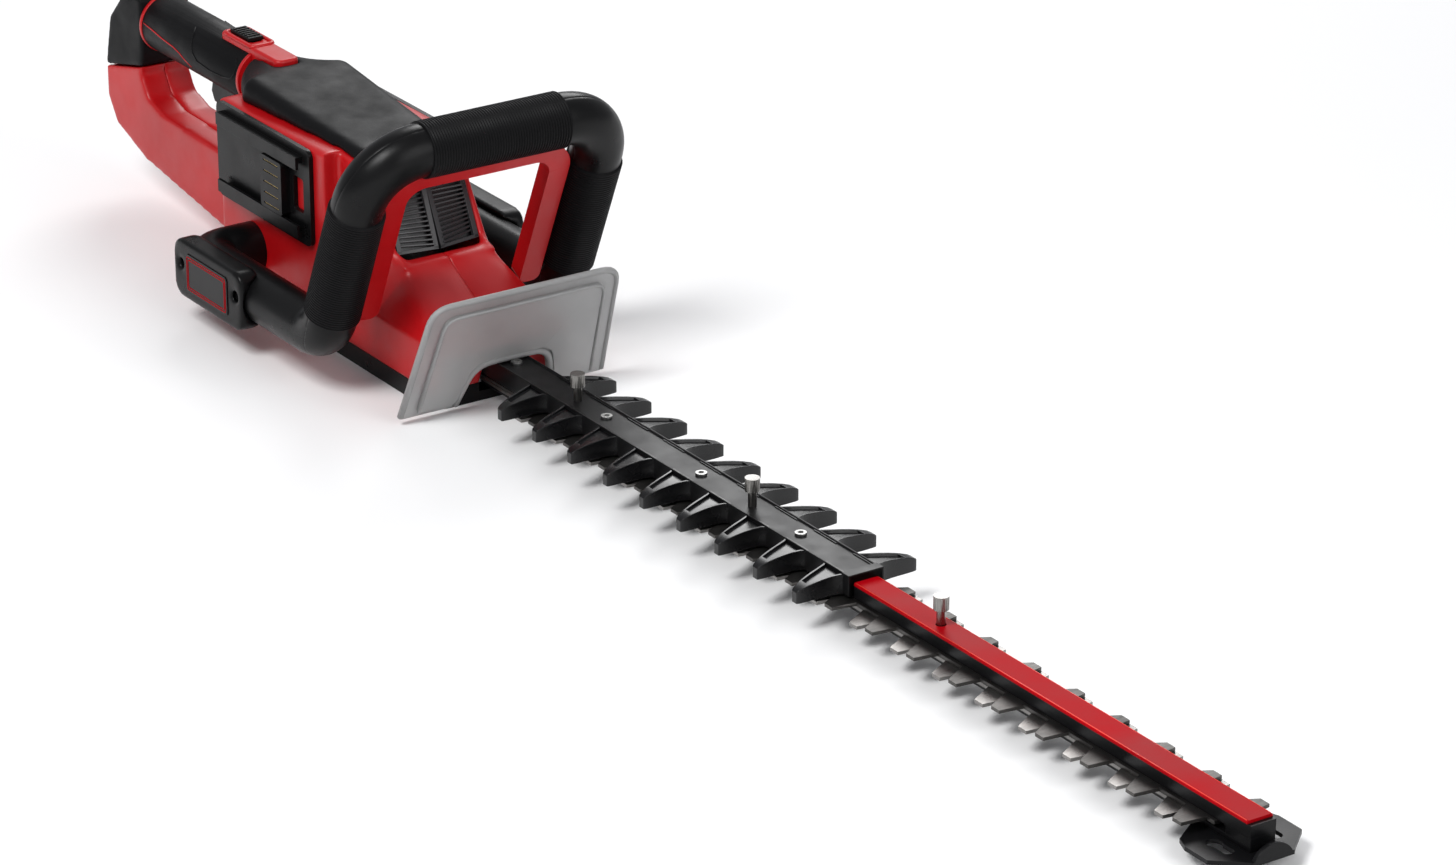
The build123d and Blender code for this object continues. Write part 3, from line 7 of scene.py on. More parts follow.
import bmesh
import bpy
from mathutils import Matrix, Vector


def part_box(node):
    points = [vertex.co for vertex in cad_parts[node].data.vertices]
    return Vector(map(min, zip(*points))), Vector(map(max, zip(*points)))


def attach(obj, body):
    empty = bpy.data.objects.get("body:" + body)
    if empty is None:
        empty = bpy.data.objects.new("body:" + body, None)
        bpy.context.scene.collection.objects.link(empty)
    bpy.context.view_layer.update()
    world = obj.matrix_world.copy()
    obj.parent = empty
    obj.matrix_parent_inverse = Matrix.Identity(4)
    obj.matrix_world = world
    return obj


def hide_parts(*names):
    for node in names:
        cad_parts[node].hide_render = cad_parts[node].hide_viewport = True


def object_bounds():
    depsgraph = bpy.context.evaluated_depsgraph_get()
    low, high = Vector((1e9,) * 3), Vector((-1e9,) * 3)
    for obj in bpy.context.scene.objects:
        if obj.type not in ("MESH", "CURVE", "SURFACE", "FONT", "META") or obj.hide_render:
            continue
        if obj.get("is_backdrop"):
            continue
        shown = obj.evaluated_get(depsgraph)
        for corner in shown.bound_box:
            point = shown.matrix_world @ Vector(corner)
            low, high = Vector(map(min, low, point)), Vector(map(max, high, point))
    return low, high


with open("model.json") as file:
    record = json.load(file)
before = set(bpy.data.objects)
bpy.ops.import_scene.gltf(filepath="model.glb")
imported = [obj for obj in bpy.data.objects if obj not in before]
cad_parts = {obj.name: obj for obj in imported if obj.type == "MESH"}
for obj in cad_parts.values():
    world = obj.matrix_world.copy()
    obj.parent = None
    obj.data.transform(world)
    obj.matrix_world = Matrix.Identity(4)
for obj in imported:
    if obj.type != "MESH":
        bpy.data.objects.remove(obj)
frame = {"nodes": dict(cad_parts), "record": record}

# Looks of a cordless hedge trimmer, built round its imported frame, in metres.
# +X points along the blade, +Y is the tool's left, +Z is up.

LOG = logging.getLogger("hedge_trimmer")
ROOT_BODY = "body"
MM = 0.001
MERGE = 0.01 * MM  # points closer together than this become one
NOISE_LOW, NOISE_HIGH = 0.3, 0.7  # nearly all of a noise's values lie between these


class Axis(Enum):
    """Directions a brushed or drawn finish can run in."""

    ALONG = (1.0, 40.0, 40.0)
    ACROSS = (40.0, 1.0, 40.0)
    ROUND = (40.0, 40.0, 1.0)


# ------------------------------------------------------------------ finishes


class Graph:
    """A material's node graph, with the few node groups the finishes share."""

    def __init__(self, name: str) -> None:
        """Start a material with one Principled shader.

        Args:
            name: the material's name.
        """
        self.material = bpy.data.materials.new(name)
        self.material.use_nodes = True
        self.tree = self.material.node_tree
        self.shader = self.tree.nodes["Principled BSDF"]
        self.coords = self.tree.nodes.new("ShaderNodeTexCoord")

    def link(self, source: bpy.types.NodeSocket, target: bpy.types.NodeSocket) -> None:
        """Join an output socket to an input socket."""
        self.tree.links.new(source, target)

    def set(self, **values: object) -> None:
        """Set constants on the shader's own sockets.

        Args:
            values: socket names, with underscores for spaces, and their values.
        """
        for name, value in values.items():
            self.shader.inputs[name.replace("_", " ")].default_value = value

    def noise(self, scale: float, detail: float, stretch: Axis | None = None) -> bpy.types.NodeSocket:
        """Noise on the object's own coordinates.

        Args:
            scale: waves per metre.
            detail: octaves.
            stretch: direction the pattern is drawn out in, if any.

        Returns:
            The noise's factor output.
        """
        texture = self.tree.nodes.new("ShaderNodeTexNoise")
        texture.inputs["Scale"].default_value = scale
        texture.inputs["Detail"].default_value = detail
        source = self.coords.outputs["Object"]
        if stretch is not None:
            mapping = self.tree.nodes.new("ShaderNodeMapping")
            mapping.inputs["Scale"].default_value = stretch.value
            self.link(source, mapping.inputs["Vector"])
            source = mapping.outputs["Vector"]
        self.link(source, texture.inputs["Vector"])
        return texture.outputs["Fac"]

    def spread(self, factor: bpy.types.NodeSocket, low: float, high: float) -> bpy.types.NodeSocket:
        """Map a noise factor onto a range of values.

        Args:
            factor: the noise output.
            low: value at the noise's dark end.
            high: value at its bright end.

        Returns:
            The mapped output.
        """
        ramp = self.tree.nodes.new("ShaderNodeMapRange")
        ramp.inputs["From Min"].default_value = NOISE_LOW
        ramp.inputs["From Max"].default_value = NOISE_HIGH
        ramp.inputs["To Min"].default_value = low
        ramp.inputs["To Max"].default_value = high
        self.link(factor, ramp.inputs["Value"])
        return ramp.outputs["Result"]

    def tint(
        self,
        factor: bpy.types.NodeSocket,
        dark: tuple,
        light: tuple,
        start: float = NOISE_LOW,
        end: float = NOISE_HIGH,
    ) -> bpy.types.NodeSocket:
        """Blend two colours by a factor.

        Args:
            factor: the noise output.
            dark: colour at the low end.
            light: colour at the high end.
            start: factor where the blend starts.
            end: factor where the blend ends.

        Returns:
            The colour output.
        """
        ramp = self.tree.nodes.new("ShaderNodeValToRGB")
        ramp.color_ramp.elements[0].position = start
        ramp.color_ramp.elements[0].color = (*dark, 1.0)
        ramp.color_ramp.elements[1].position = end
        ramp.color_ramp.elements[1].color = (*light, 1.0)
        self.link(factor, ramp.inputs["Fac"])
        return ramp.outputs["Color"]

    def relief(self, *layers: tuple) -> None:
        """Stack bump layers onto the shader's normal.

        Args:
            layers: pairs of a height output and its height in metres.
        """
        previous = None
        for height, distance in layers:
            bump = self.tree.nodes.new("ShaderNodeBump")
            bump.inputs["Strength"].default_value = 1.0
            bump.inputs["Distance"].default_value = distance
            self.link(height, bump.inputs["Height"])
            if previous is not None:
                self.link(previous, bump.inputs["Normal"])
            previous = bump.outputs["Normal"]
        self.link(previous, self.shader.inputs["Normal"])


def shade(colour: tuple, factor: float) -> tuple:
    """Scale a colour's brightness, up to one at most."""
    return tuple(min(1.0, c * factor) for c in colour)


@dataclass(frozen=True)
class Moulded:
    """Moulded plastic or overmould with a spark-eroded grain."""

    name: str
    colour: tuple
    roughness: float
    gloss: float = 0.2
    grain: float = 1500.0
    grain_height: float = 0.02 * MM
    mottle: float = 0.12
    smoother: float = 0.06
    rougher: float = 0.08

    def material(self) -> bpy.types.Material:
        """Build the grain, a slow drift of tone and rubbed, glossier patches."""
        g = Graph(self.name)
        drift = g.noise(scale=14.0, detail=4.0)
        tone = g.tint(drift, shade(self.colour, 1 - self.mottle), shade(self.colour, 1 + self.mottle))
        g.link(tone, g.shader.inputs["Base Color"])
        rub = g.noise(scale=55.0, detail=6.0)
        rough = g.spread(rub, self.roughness - self.smoother, self.roughness + self.rougher)
        g.link(rough, g.shader.inputs["Roughness"])
        g.relief((g.noise(self.grain, detail=2.0), self.grain_height))
        g.set(Specular_IOR_Level=self.gloss)
        return g.material


@dataclass(frozen=True)
class Drawn:
    """Metal with a drawn, ground or brushed surface."""

    name: str
    colour: tuple
    roughness: float
    run: Axis = Axis.ALONG
    line_height: float = 0.015 * MM
    stain: float = 0.35
    smoother: float = 0.08
    rougher: float = 0.12

    def material(self) -> bpy.types.Material:
        """Build fine drawn lines over darker handling stains."""
        g = Graph(self.name)
        lines = g.noise(scale=90.0, detail=5.0, stretch=self.run)
        stains = g.noise(scale=38.0, detail=6.0)
        tone = g.tint(stains, shade(self.colour, 1 - self.stain), self.colour, start=0.32, end=0.6)
        g.link(tone, g.shader.inputs["Base Color"])
        rough = g.spread(lines, self.roughness - self.smoother, self.roughness + self.rougher)
        g.link(rough, g.shader.inputs["Roughness"])
        g.relief((lines, self.line_height))
        g.set(Metallic=1.0)
        return g.material


@dataclass(frozen=True)
class Painted:
    """Sprayed enamel or a printed film, with the orange peel of its paint."""

    name: str
    colour: tuple
    roughness: float
    gloss: float = 0.2
    mottle: float = 0.15
    smoother: float = 0.05
    rougher: float = 0.08
    peel_height: float = 0.03 * MM

    def material(self) -> bpy.types.Material:
        """Build the orange peel, and a slow drift of tone and gloss."""
        g = Graph(self.name)
        drift = g.noise(scale=20.0, detail=4.0)
        tone = g.tint(drift, shade(self.colour, 1 - self.mottle), shade(self.colour, 1 + self.mottle))
        g.link(tone, g.shader.inputs["Base Color"])
        rough = g.spread(drift, self.roughness - self.smoother, self.roughness + self.rougher)
        g.link(rough, g.shader.inputs["Roughness"])
        g.relief((g.noise(scale=700.0, detail=2.0), self.peel_height))
        g.set(Specular_IOR_Level=self.gloss)
        return g.material


@dataclass(frozen=True)
class Smoked:
    """Frosted, smoked translucent sheet, scuffed by handling."""

    name: str
    colour: tuple
    roughness: float
    clear: float
    darker: float = 0.9
    lighter: float = 1.08
    smoother: float = 0.05
    rougher: float = 0.1
    frost_height: float = 0.02 * MM
    index: float = 1.46

    def material(self) -> bpy.types.Material:
        """Build cloudy density and fine scuffs on a transmitting sheet."""
        g = Graph(self.name)
        cloud = g.noise(scale=16.0, detail=3.0)
        tone = g.tint(cloud, shade(self.colour, self.darker), shade(self.colour, self.lighter))
        g.link(tone, g.shader.inputs["Base Color"])
        scuff = g.noise(scale=120.0, detail=8.0)
        rough = g.spread(scuff, self.roughness - self.smoother, self.roughness + self.rougher)
        g.link(rough, g.shader.inputs["Roughness"])
        g.relief((g.noise(scale=900.0, detail=2.0), self.frost_height))
        g.set(Transmission_Weight=self.clear, IOR=self.index)
        return g.material


class Finishes:
    """Every finish of the tool: one for each material slot, and a few for pieces of their own look."""

    def __init__(self) -> None:
        """Make each material once."""
        makers = {
            "red_plastic": Moulded("red_housing", (0.46, 0.0035, 0.006), 0.36, gloss=0.42),
            "black_plastic": Moulded("black_housing", (0.004, 0.004, 0.0043), 0.32, gloss=0.17),
            "black_rubber": Moulded(
                "soft_overmould", (0.0045, 0.0045, 0.005), 0.46,
                gloss=0.1, grain=1100.0, grain_height=0.04 * MM, mottle=0.05,
            ),
            "badge_film": Painted("badge_film", (0.004, 0.004, 0.0045), 0.3),
            "smoked_plastic": Smoked("smoked_guard", (0.50, 0.50, 0.50), 0.4, 0.5),
            "black_steel": Painted("blackened_steel", (0.004, 0.004, 0.0045), 0.34, gloss=0.17),
            "red_paint": Painted("red_enamel", (0.37, 0.0006, 0.0045), 0.45, gloss=0.05),
            "blade_steel": Drawn("ground_blade", (0.27, 0.26, 0.25), 0.34, Axis.ACROSS),
            "plated_steel": Drawn("zinc_plate", (0.42, 0.42, 0.41), 0.34, Axis.ROUND),
            "nickel": Drawn("nickel_plate", (0.30, 0.29, 0.275), 0.30, Axis.ROUND),
            "gear_steel": Drawn("machined_steel", (0.42, 0.42, 0.44), 0.34, Axis.ROUND),
            "cast_alloy": Drawn("cast_alloy", (0.50, 0.50, 0.51), 0.48, line_height=0.04 * MM),
            "bronze": Drawn("sintered_bronze", (0.48, 0.30, 0.13), 0.45),
            "contact_brass": Drawn("contact_brass", (0.70, 0.52, 0.22), 0.28),
            "board": Moulded("circuit_board", (0.02, 0.14, 0.05), 0.35, grain=600.0),
        }
        self.by_slot = {slot: maker.material() for slot, maker in makers.items()}
        special = {
            "upper_blade": Drawn("worn_blade", (0.115, 0.11, 0.105), 0.42, Axis.ACROSS, stain=0.5),
            "guard_channel": Moulded("guard_gloss", (0.004, 0.004, 0.0043), 0.36, gloss=0.22),
            "guard_fingers": Moulded("finger_gloss", (0.0035, 0.0035, 0.004), 0.24, gloss=0.4),
            # the strip's edge beads are a lighter red than the strip: a painted highlight along the rolled
            # edges
            "strip_edge_highlights": Painted("painted_edge_highlight", (0.75, 0.05, 0.03), 0.3, gloss=0.5),
            # the louvres' black is lighter than the housing black: a painted highlight on the ribs
            "louvres": Moulded("louvre_black_painted_highlight", (0.022, 0.022, 0.024), 0.3, gloss=0.5),
        }
        self.by_name = {name: maker.material() for name, maker in special.items()}

    def dress(self, piece: bpy.types.Object, slot: str) -> None:
        """Give a piece one finish, its own by a word in its name or else its slot's.

        Args:
            piece: the mesh object.
            slot: the record's material slot.
        """
        piece.data.materials.clear()
        named = [self.by_name[word] for word in self.by_name if word in piece.name]
        piece.data.materials.append(named[0] if named else self.by_slot[slot])


# ------------------------------------------------------------------ shared making


def ease_edges(piece: bpy.types.Object, width: float, angle: float = 28.0) -> None:
    """Round a hard-edged piece's corners and even out its shading.

    Args:
        piece: the mesh object.
        width: the radius, in metres.
        angle: edges sharper than this, in degrees, are rounded.
    """
    weld = piece.modifiers.new("weld", "WELD")
    weld.merge_threshold = MERGE
    bevel = piece.modifiers.new("ease", "BEVEL")
    bevel.width = width
    bevel.segments = 2
    bevel.limit_method = "ANGLE"
    bevel.angle_limit = math.radians(angle)
    bevel.use_clamp_overlap = True
    bevel.harden_normals = True


@dataclass
class Bench:
    """Turns finished shapes into dressed pieces that ride on a body."""

    finishes: Finishes

    def place(
        self,
        bm: bmesh.types.BMesh,
        name: str,
        slot: str,
        body: str = ROOT_BODY,
        stands_for: tuple = (),
        edge: float = 0.0,
    ) -> bpy.types.Object:
        """Make a piece from a shape.

        Args:
            bm: the shape, in the frame's own metres; freed here.
            name: the piece's name.
            slot: the record's material slot.
            body: the body it rides on.
            stands_for: CAD nodes it is shown instead of.
            edge: radius its hard edges are rounded to, or nothing.

        Returns:
            The new object.
        """
        bmesh.ops.recalc_face_normals(bm, faces=bm.faces)
        mesh = bpy.data.meshes.new(name)
        bm.to_mesh(mesh)
        bm.free()
        for face in mesh.polygons:
            face.use_smooth = True
        piece = bpy.data.objects.new(name, mesh)
        bpy.context.scene.collection.objects.link(piece)
        self.finishes.dress(piece, slot)
        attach(piece, body)
        if stands_for:
            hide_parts(*stands_for)
        if edge:
            ease_edges(piece, edge)
        LOG.info("made %s in %s, %d faces", name, slot, len(mesh.polygons))
        return piece


def rounded(corners: list, radius: float, closed: bool = True, steps: int = 6) -> list:
    """Round a path's corners.

    Args:
        corners: the path's corner points.
        radius: how far from each corner the rounding starts.
        closed: whether the path joins up.
        steps: points on each rounding.

    Returns:
        The path's points.
    """
    points = []
    last = len(corners) - 1
    for index, corner in enumerate(corners):
        if not closed and index in (0, last):
            points.append(corner)
            continue
        before = corners[index - 1]
        after = corners[(index + 1) % len(corners)]
        start = corner + (before - corner).normalized() * radius
        end = corner + (after - corner).normalized() * radius
        for step in range(steps + 1):
            t = step / steps
            points.append(start * (1 - t) ** 2 + corner * 2 * t * (1 - t) + end * t**2)
    return points


def add_bead(bm: bmesh.types.BMesh, path: list, radius: float, closed: bool) -> None:
    """Run a round bead along a path.

    Args:
        bm: the shape it is added to.
        path: the bead's middle line.
        radius: the bead's radius.
        closed: whether the bead joins up.
    """
    line = bpy.data.curves.new("line", "CURVE")
    line.dimensions = "3D"
    line.bevel_depth = radius
    line.bevel_resolution = 2
    line.use_fill_caps = not closed
    spline = line.splines.new("POLY")
    spline.points.add(len(path) - 1)
    for point, place in zip(spline.points, path):
        point.co = (*place, 1.0)
    spline.use_cyclic_u = closed
    holder = bpy.data.objects.new("line", line)
    mesh = bpy.data.meshes.new_from_object(holder)
    bm.from_mesh(mesh)
    bmesh.ops.remove_doubles(bm, verts=bm.verts, dist=MERGE)
    bpy.data.objects.remove(holder)
    bpy.data.curves.remove(line)
    bpy.data.meshes.remove(mesh)


def add_block(bm: bmesh.types.BMesh, centre: Vector, along: Vector, across: Vector, up: Vector) -> None:
    """Add a block given by its middle and its three full edges.

    Args:
        bm: the shape it is added to.
        centre: the block's middle.
        along: its first edge.
        across: its second edge.
        up: its third edge.
    """
    turn = Matrix((along, across, up)).transposed().to_4x4()
    bmesh.ops.create_cube(bm, size=1.0, matrix=Matrix.Translation(centre) @ turn)


# ------------------------------------------------------------------ sub-assemblies


@dataclass
class Mouldings:
    """Moulded shells: their CAD form with softly flowing edges, still flat where the halves meet."""

    bench: Bench
    mesh_step: float = 1.5 * MM
    passes: int = 9
    seam: float = 1.2 * MM
    pull: float = 0.5
    saddle_rear: float = -58 * MM
    saddle_low: float = 44 * MM
    saddle_high: float = 72 * MM
    saddle_passes: int = 90

    SHELLS = (
        ("housing_right", "red_plastic"),
        ("housing_left", "red_plastic"),
        ("rear_cap", "black_rubber"),
        ("top_cover", "black_rubber"),
        ("arm_plate_right", "black_plastic"),
        ("arm_plate_left", "black_plastic"),
    )

    def relax(self, shape: bmesh.types.BMesh, verts: list, passes: int) -> None:
        """Smooth part of a shell, without pulling its seam off the middle plane.

        Args:
            shape: the shell.
            verts: the part's points.
            passes: how many times it is smoothed.
        """
        free = [v for v in verts if abs(v.co.y) > self.seam]
        held = [v for v in verts if abs(v.co.y) <= self.seam]
        for _ in range(passes):
            for group, sideways in ((free, True), (held, False)):
                bmesh.ops.smooth_vert(
                    shape, verts=group, factor=self.pull,
                    use_axis_x=True, use_axis_y=sideways, use_axis_z=True,
                )

    def soften(self, name: str, slot: str) -> None:
        """Make one softened shell.

        Args:
            name: the CAD node it stands for.
            slot: the record's material slot.
        """
        bm = bmesh.new()
        bm.from_mesh(frame["nodes"][name].data)
        bmesh.ops.remove_doubles(bm, verts=bm.verts, dist=MERGE)
        mesh = bpy.data.meshes.new("skin")
        bm.to_mesh(mesh)
        bm.free()
        skin = bpy.data.objects.new("skin", mesh)
        bpy.context.scene.collection.objects.link(skin)
        remesh = skin.modifiers.new("even", "REMESH")
        remesh.mode = "VOXEL"
        remesh.voxel_size = self.mesh_step
        even = bpy.data.meshes.new_from_object(skin.evaluated_get(bpy.context.evaluated_depsgraph_get()))
        shape = bmesh.new()
        shape.from_mesh(even)
        self.relax(shape, list(shape.verts), self.passes)
        if name.startswith("housing"):
            low, high = self.saddle_low, self.saddle_high
            saddle = [v for v in shape.verts if v.co.x > self.saddle_rear and low < v.co.z < high]
            self.relax(shape, saddle, self.saddle_passes)
        bpy.data.objects.remove(skin)
        bpy.data.meshes.remove(mesh)
        bpy.data.meshes.remove(even)
        self.bench.place(shape, name + "_skin", slot, stands_for=(name,))

    def build(self) -> None:
        """Make every softened shell."""
        for name, slot in self.SHELLS:
            self.soften(name, slot)


@dataclass
class ToothGuard:
    """Moulded channel over the rail, with nine hooked fingers on each side."""

    bench: Bench
    fingers: int = 9
    pitch: float = 38.0 * MM
    first_tip: float = 74.0 * MM
    half: float = 11.0 * MM
    wall: float = 1.5 * MM
    slope: float = 0.7 * MM
    sunk: float = 1.2 * MM
    band_length: float = 7.0 * MM
    band_step: float = 0.8 * MM
    band_lift: float = 0.3 * MM
    channel_edge: float = 0.4 * MM
    rib: float = 1.5 * MM
    panel_slope: float = 0.5 * MM
    panel: float = 1.6 * MM
    panel_reach: float = 35.0 * MM
    facing_up: float = 0.7
    finger_edge: float = 0.35 * MM

    # Reach, rear edge and front edge behind the tip's front, and height above the finger's underside.
    STATIONS = (
        (9.0, -17.5, 4.5, 11.8),
        (13.0, -15.2, 1.8, 11.7),
        (18.0, -13.4, 0.5, 11.3),
        (23.0, -11.8, 0.1, 10.8),
        (28.0, -10.1, 0.0, 10.2),
        (33.0, -8.2, 0.0, 9.4),
        (37.0, -6.6, -0.2, 8.4),
        (39.0, -5.8, -0.5, 7.4),
        (39.8, -5.2, -0.9, 6.6),
    )

    def __post_init__(self) -> None:
        """Read the channel's place from the CAD node."""
        self.low, self.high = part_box("tooth_guard")

    def channel(self) -> None:
        """Make the channel, its sunk floor, its raised edges and its end band."""
        bm = bmesh.new()
        length = self.high.x - self.low.x
        rise = Vector((0, 0, self.high.z - self.low.z))
        centre = Vector((self.low.x + length / 2, 0, (self.low.z + self.high.z) / 2))
        add_block(bm, centre, Vector((length, 0, 0)), Vector((0, 2 * self.half, 0)), rise)
        top = max(bm.faces, key=lambda face: face.calc_center_median().z)
        bmesh.ops.inset_region(bm, faces=[top], thickness=self.wall, depth=0.0)
        bmesh.ops.inset_region(bm, faces=[top], thickness=self.slope, depth=-self.sunk)
        band = Vector((self.high.x - self.band_length / 2, 0, centre.z + self.band_lift))
        across = Vector((0, 2 * (self.half + self.band_step), 0))
        add_block(bm, band, Vector((self.band_length, 0, 0)), across, rise)
        self.bench.place(
            bm, "guard_channel", "black_plastic", stands_for=("tooth_guard",), edge=self.channel_edge
        )

    def finger(self, bm: bmesh.types.BMesh, tip: float, side: int) -> None:
        """Add one finger by drawing a face out through its stations.

        Args:
            bm: the shape it is added to.
            tip: X of the tip's front.
            side: -1 for the right, 1 for the left.
        """
        made = bmesh.ops.create_grid(bm, x_segments=1, y_segments=1, size=0.5)
        verts = sorted(made["verts"], key=lambda v: (v.co.y, v.co.x))
        ring = [verts[0], verts[1], verts[3], verts[2]]
        face = ring[0].link_faces[0]
        for index, (reach, rear, front, rise) in enumerate(self.STATIONS):
            if index:
                before = ring
                drawn = bmesh.ops.extrude_discrete_faces(bm, faces=[face])
                face = drawn["faces"][0]
                ring = [min(face.verts, key=lambda v: (v.co - old.co).length) for old in before]
            y = side * reach * MM
            low, high = self.low.z, self.low.z + rise * MM
            places = ((rear, low), (front, low), (front, high), (rear, high))
            for vert, (offset, z) in zip(ring, places):
                vert.co = Vector((tip + offset * MM, y, z))

    def build(self) -> None:
        """Make the channel and all the fingers."""
        self.channel()
        for side, word in ((-1, "right"), (1, "left")):
            bm = bmesh.new()
            for index in range(self.fingers):
                self.finger(bm, self.low.x + self.first_tip + self.pitch * index, side)
            bmesh.ops.recalc_face_normals(bm, faces=bm.faces)
            tops = [
                face for face in bm.faces
                if face.normal.z > self.facing_up and abs(face.calc_center_median().y) < self.panel_reach
            ]
            bmesh.ops.inset_region(bm, faces=tops, thickness=self.rib, depth=0.0, use_boundary=True)
            bmesh.ops.inset_region(
                bm, faces=tops, thickness=self.panel_slope, depth=-self.panel, use_boundary=True
            )
            self.bench.place(bm, f"guard_fingers_{word}", "black_plastic", edge=self.finger_edge)


@dataclass(frozen=True)
class Bead:
    """A bead that rises from one foot, crosses over and comes down to the other, in millimetres.

    Its feet and its top are each a half width and a rise, and out is its way from the guard's back face.
    """

    name: str
    foot: tuple
    top: tuple
    out: float
    radius: float
    corner: float

    def outline(self) -> list:
        """The four turning points, each across and up."""
        (foot_half, foot_rise), (top_half, top_rise) = self.foot, self.top
        return [(-foot_half, foot_rise), (-top_half, top_rise), (top_half, top_rise), (foot_half, foot_rise)]


@dataclass
class HandGuardRims:
    """Beads on the smoked guard: its outer lip, its inner rim and the rim round the arch."""

    bench: Bench
    lean: float = math.radians(22.0)
    height: float = 84.0

    BEADS = (
        Bead("guard_lip", foot=(70.0, 1.0), top=(63.6, 83.4), out=1.9, radius=2.0, corner=12.0),
        Bead("guard_rim", foot=(60.0, 4.5), top=(54.5, 75.5), out=5.0, radius=1.1, corner=9.0),
        Bead("guard_arch", foot=(33.5, 1.5), top=(25.5, 31.0), out=3.0, radius=2.4, corner=12.0),
    )

    def point(self, y: float, rise: float, out: float) -> Vector:
        """A point in the guard's own plane.

        Args:
            y: across, in millimetres.
            rise: up the guard, in millimetres.
            out: in front of its back face, in millimetres.

        Returns:
            The place in the frame.
        """
        low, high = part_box("hand_guard")
        up = Vector((math.sin(self.lean), 0, math.cos(self.lean)))
        ahead = Vector((math.cos(self.lean), 0, -math.sin(self.lean)))
        foot = Vector((low.x, 0, high.z)) - Vector((0, 0, up.z * self.height * MM))
        return foot + (up * rise + ahead * out + Vector((0, y, 0))) * MM

    def build(self) -> None:
        """Make the three beads."""
        for bead in self.BEADS:
            bm = bmesh.new()
            corners = [self.point(y, rise, bead.out) for y, rise in bead.outline()]
            add_bead(bm, rounded(corners, bead.corner * MM, closed=False), bead.radius * MM, closed=False)
            self.bench.place(bm, bead.name, "smoked_plastic")


@dataclass
class RibbedSleeves:
    """Rubber sleeves of the front handle, turned with fine ribs all round."""

    bench: Bench
    lean: float = math.radians(24.0)
    outer: float = 17.35 * MM
    valley: float = 16.3 * MM
    inner: float = 15.4 * MM
    pitch: float = 1.8 * MM
    sides: int = 40
    leg_length: float = 82.0 * MM
    leg_shift: float = -4.0 * MM
    top_length: float = 95.0 * MM

    # Shares of the pitch where a rib is up, where it starts down and where it is down.
    RIB = (0.2, 0.55, 0.75)

    def turn(self, name: str, direction: Vector, length: float, shift: float) -> None:
        """Turn one sleeve in place of its CAD node.

        Args:
            name: the CAD node.
            direction: the sleeve's run.
            length: its length.
            shift: how far along its run its middle is moved.
        """
        low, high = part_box(name)
        ribs = round(length / self.pitch)
        step = length / ribs
        up, over, down = self.RIB
        profile = [(self.inner, 0.0), (self.valley, 0.0)]
        for index in range(ribs):
            base = index * step
            profile += [
                (self.outer, base + up * step),
                (self.outer, base + over * step),
                (self.valley, base + down * step),
                (self.valley, base + step),
            ]
        profile.append((self.inner, length))
        bm = bmesh.new()
        verts = [bm.verts.new((radius, 0, z - length / 2)) for radius, z in profile]
        edges = [bm.edges.new((a, b)) for a, b in zip(verts, verts[1:] + verts[:1])]
        bmesh.ops.spin(
            bm, geom=verts + edges, cent=(0, 0, 0), axis=(0, 0, 1), dvec=(0, 0, 0),
            angle=2 * math.pi, steps=self.sides, use_merge=True, use_duplicate=False,
        )
        spot = (low + high) / 2 + direction * shift
        turn = direction.to_track_quat("Z", "X").to_matrix().to_4x4()
        bmesh.ops.transform(bm, matrix=Matrix.Translation(spot) @ turn, verts=bm.verts)
        self.bench.place(bm, name + "_ribbed", "black_rubber", stands_for=(name,))

    def build(self) -> None:
        """Turn all three sleeves."""
        leg = Vector((math.sin(self.lean), 0, math.cos(self.lean)))
        self.turn("leg_sleeve_right", leg, self.leg_length, self.leg_shift)
        self.turn("leg_sleeve_left", leg, self.leg_length, self.leg_shift)
        self.turn("top_sleeve", Vector((0, 1, 0)), self.top_length, shift=0.0)


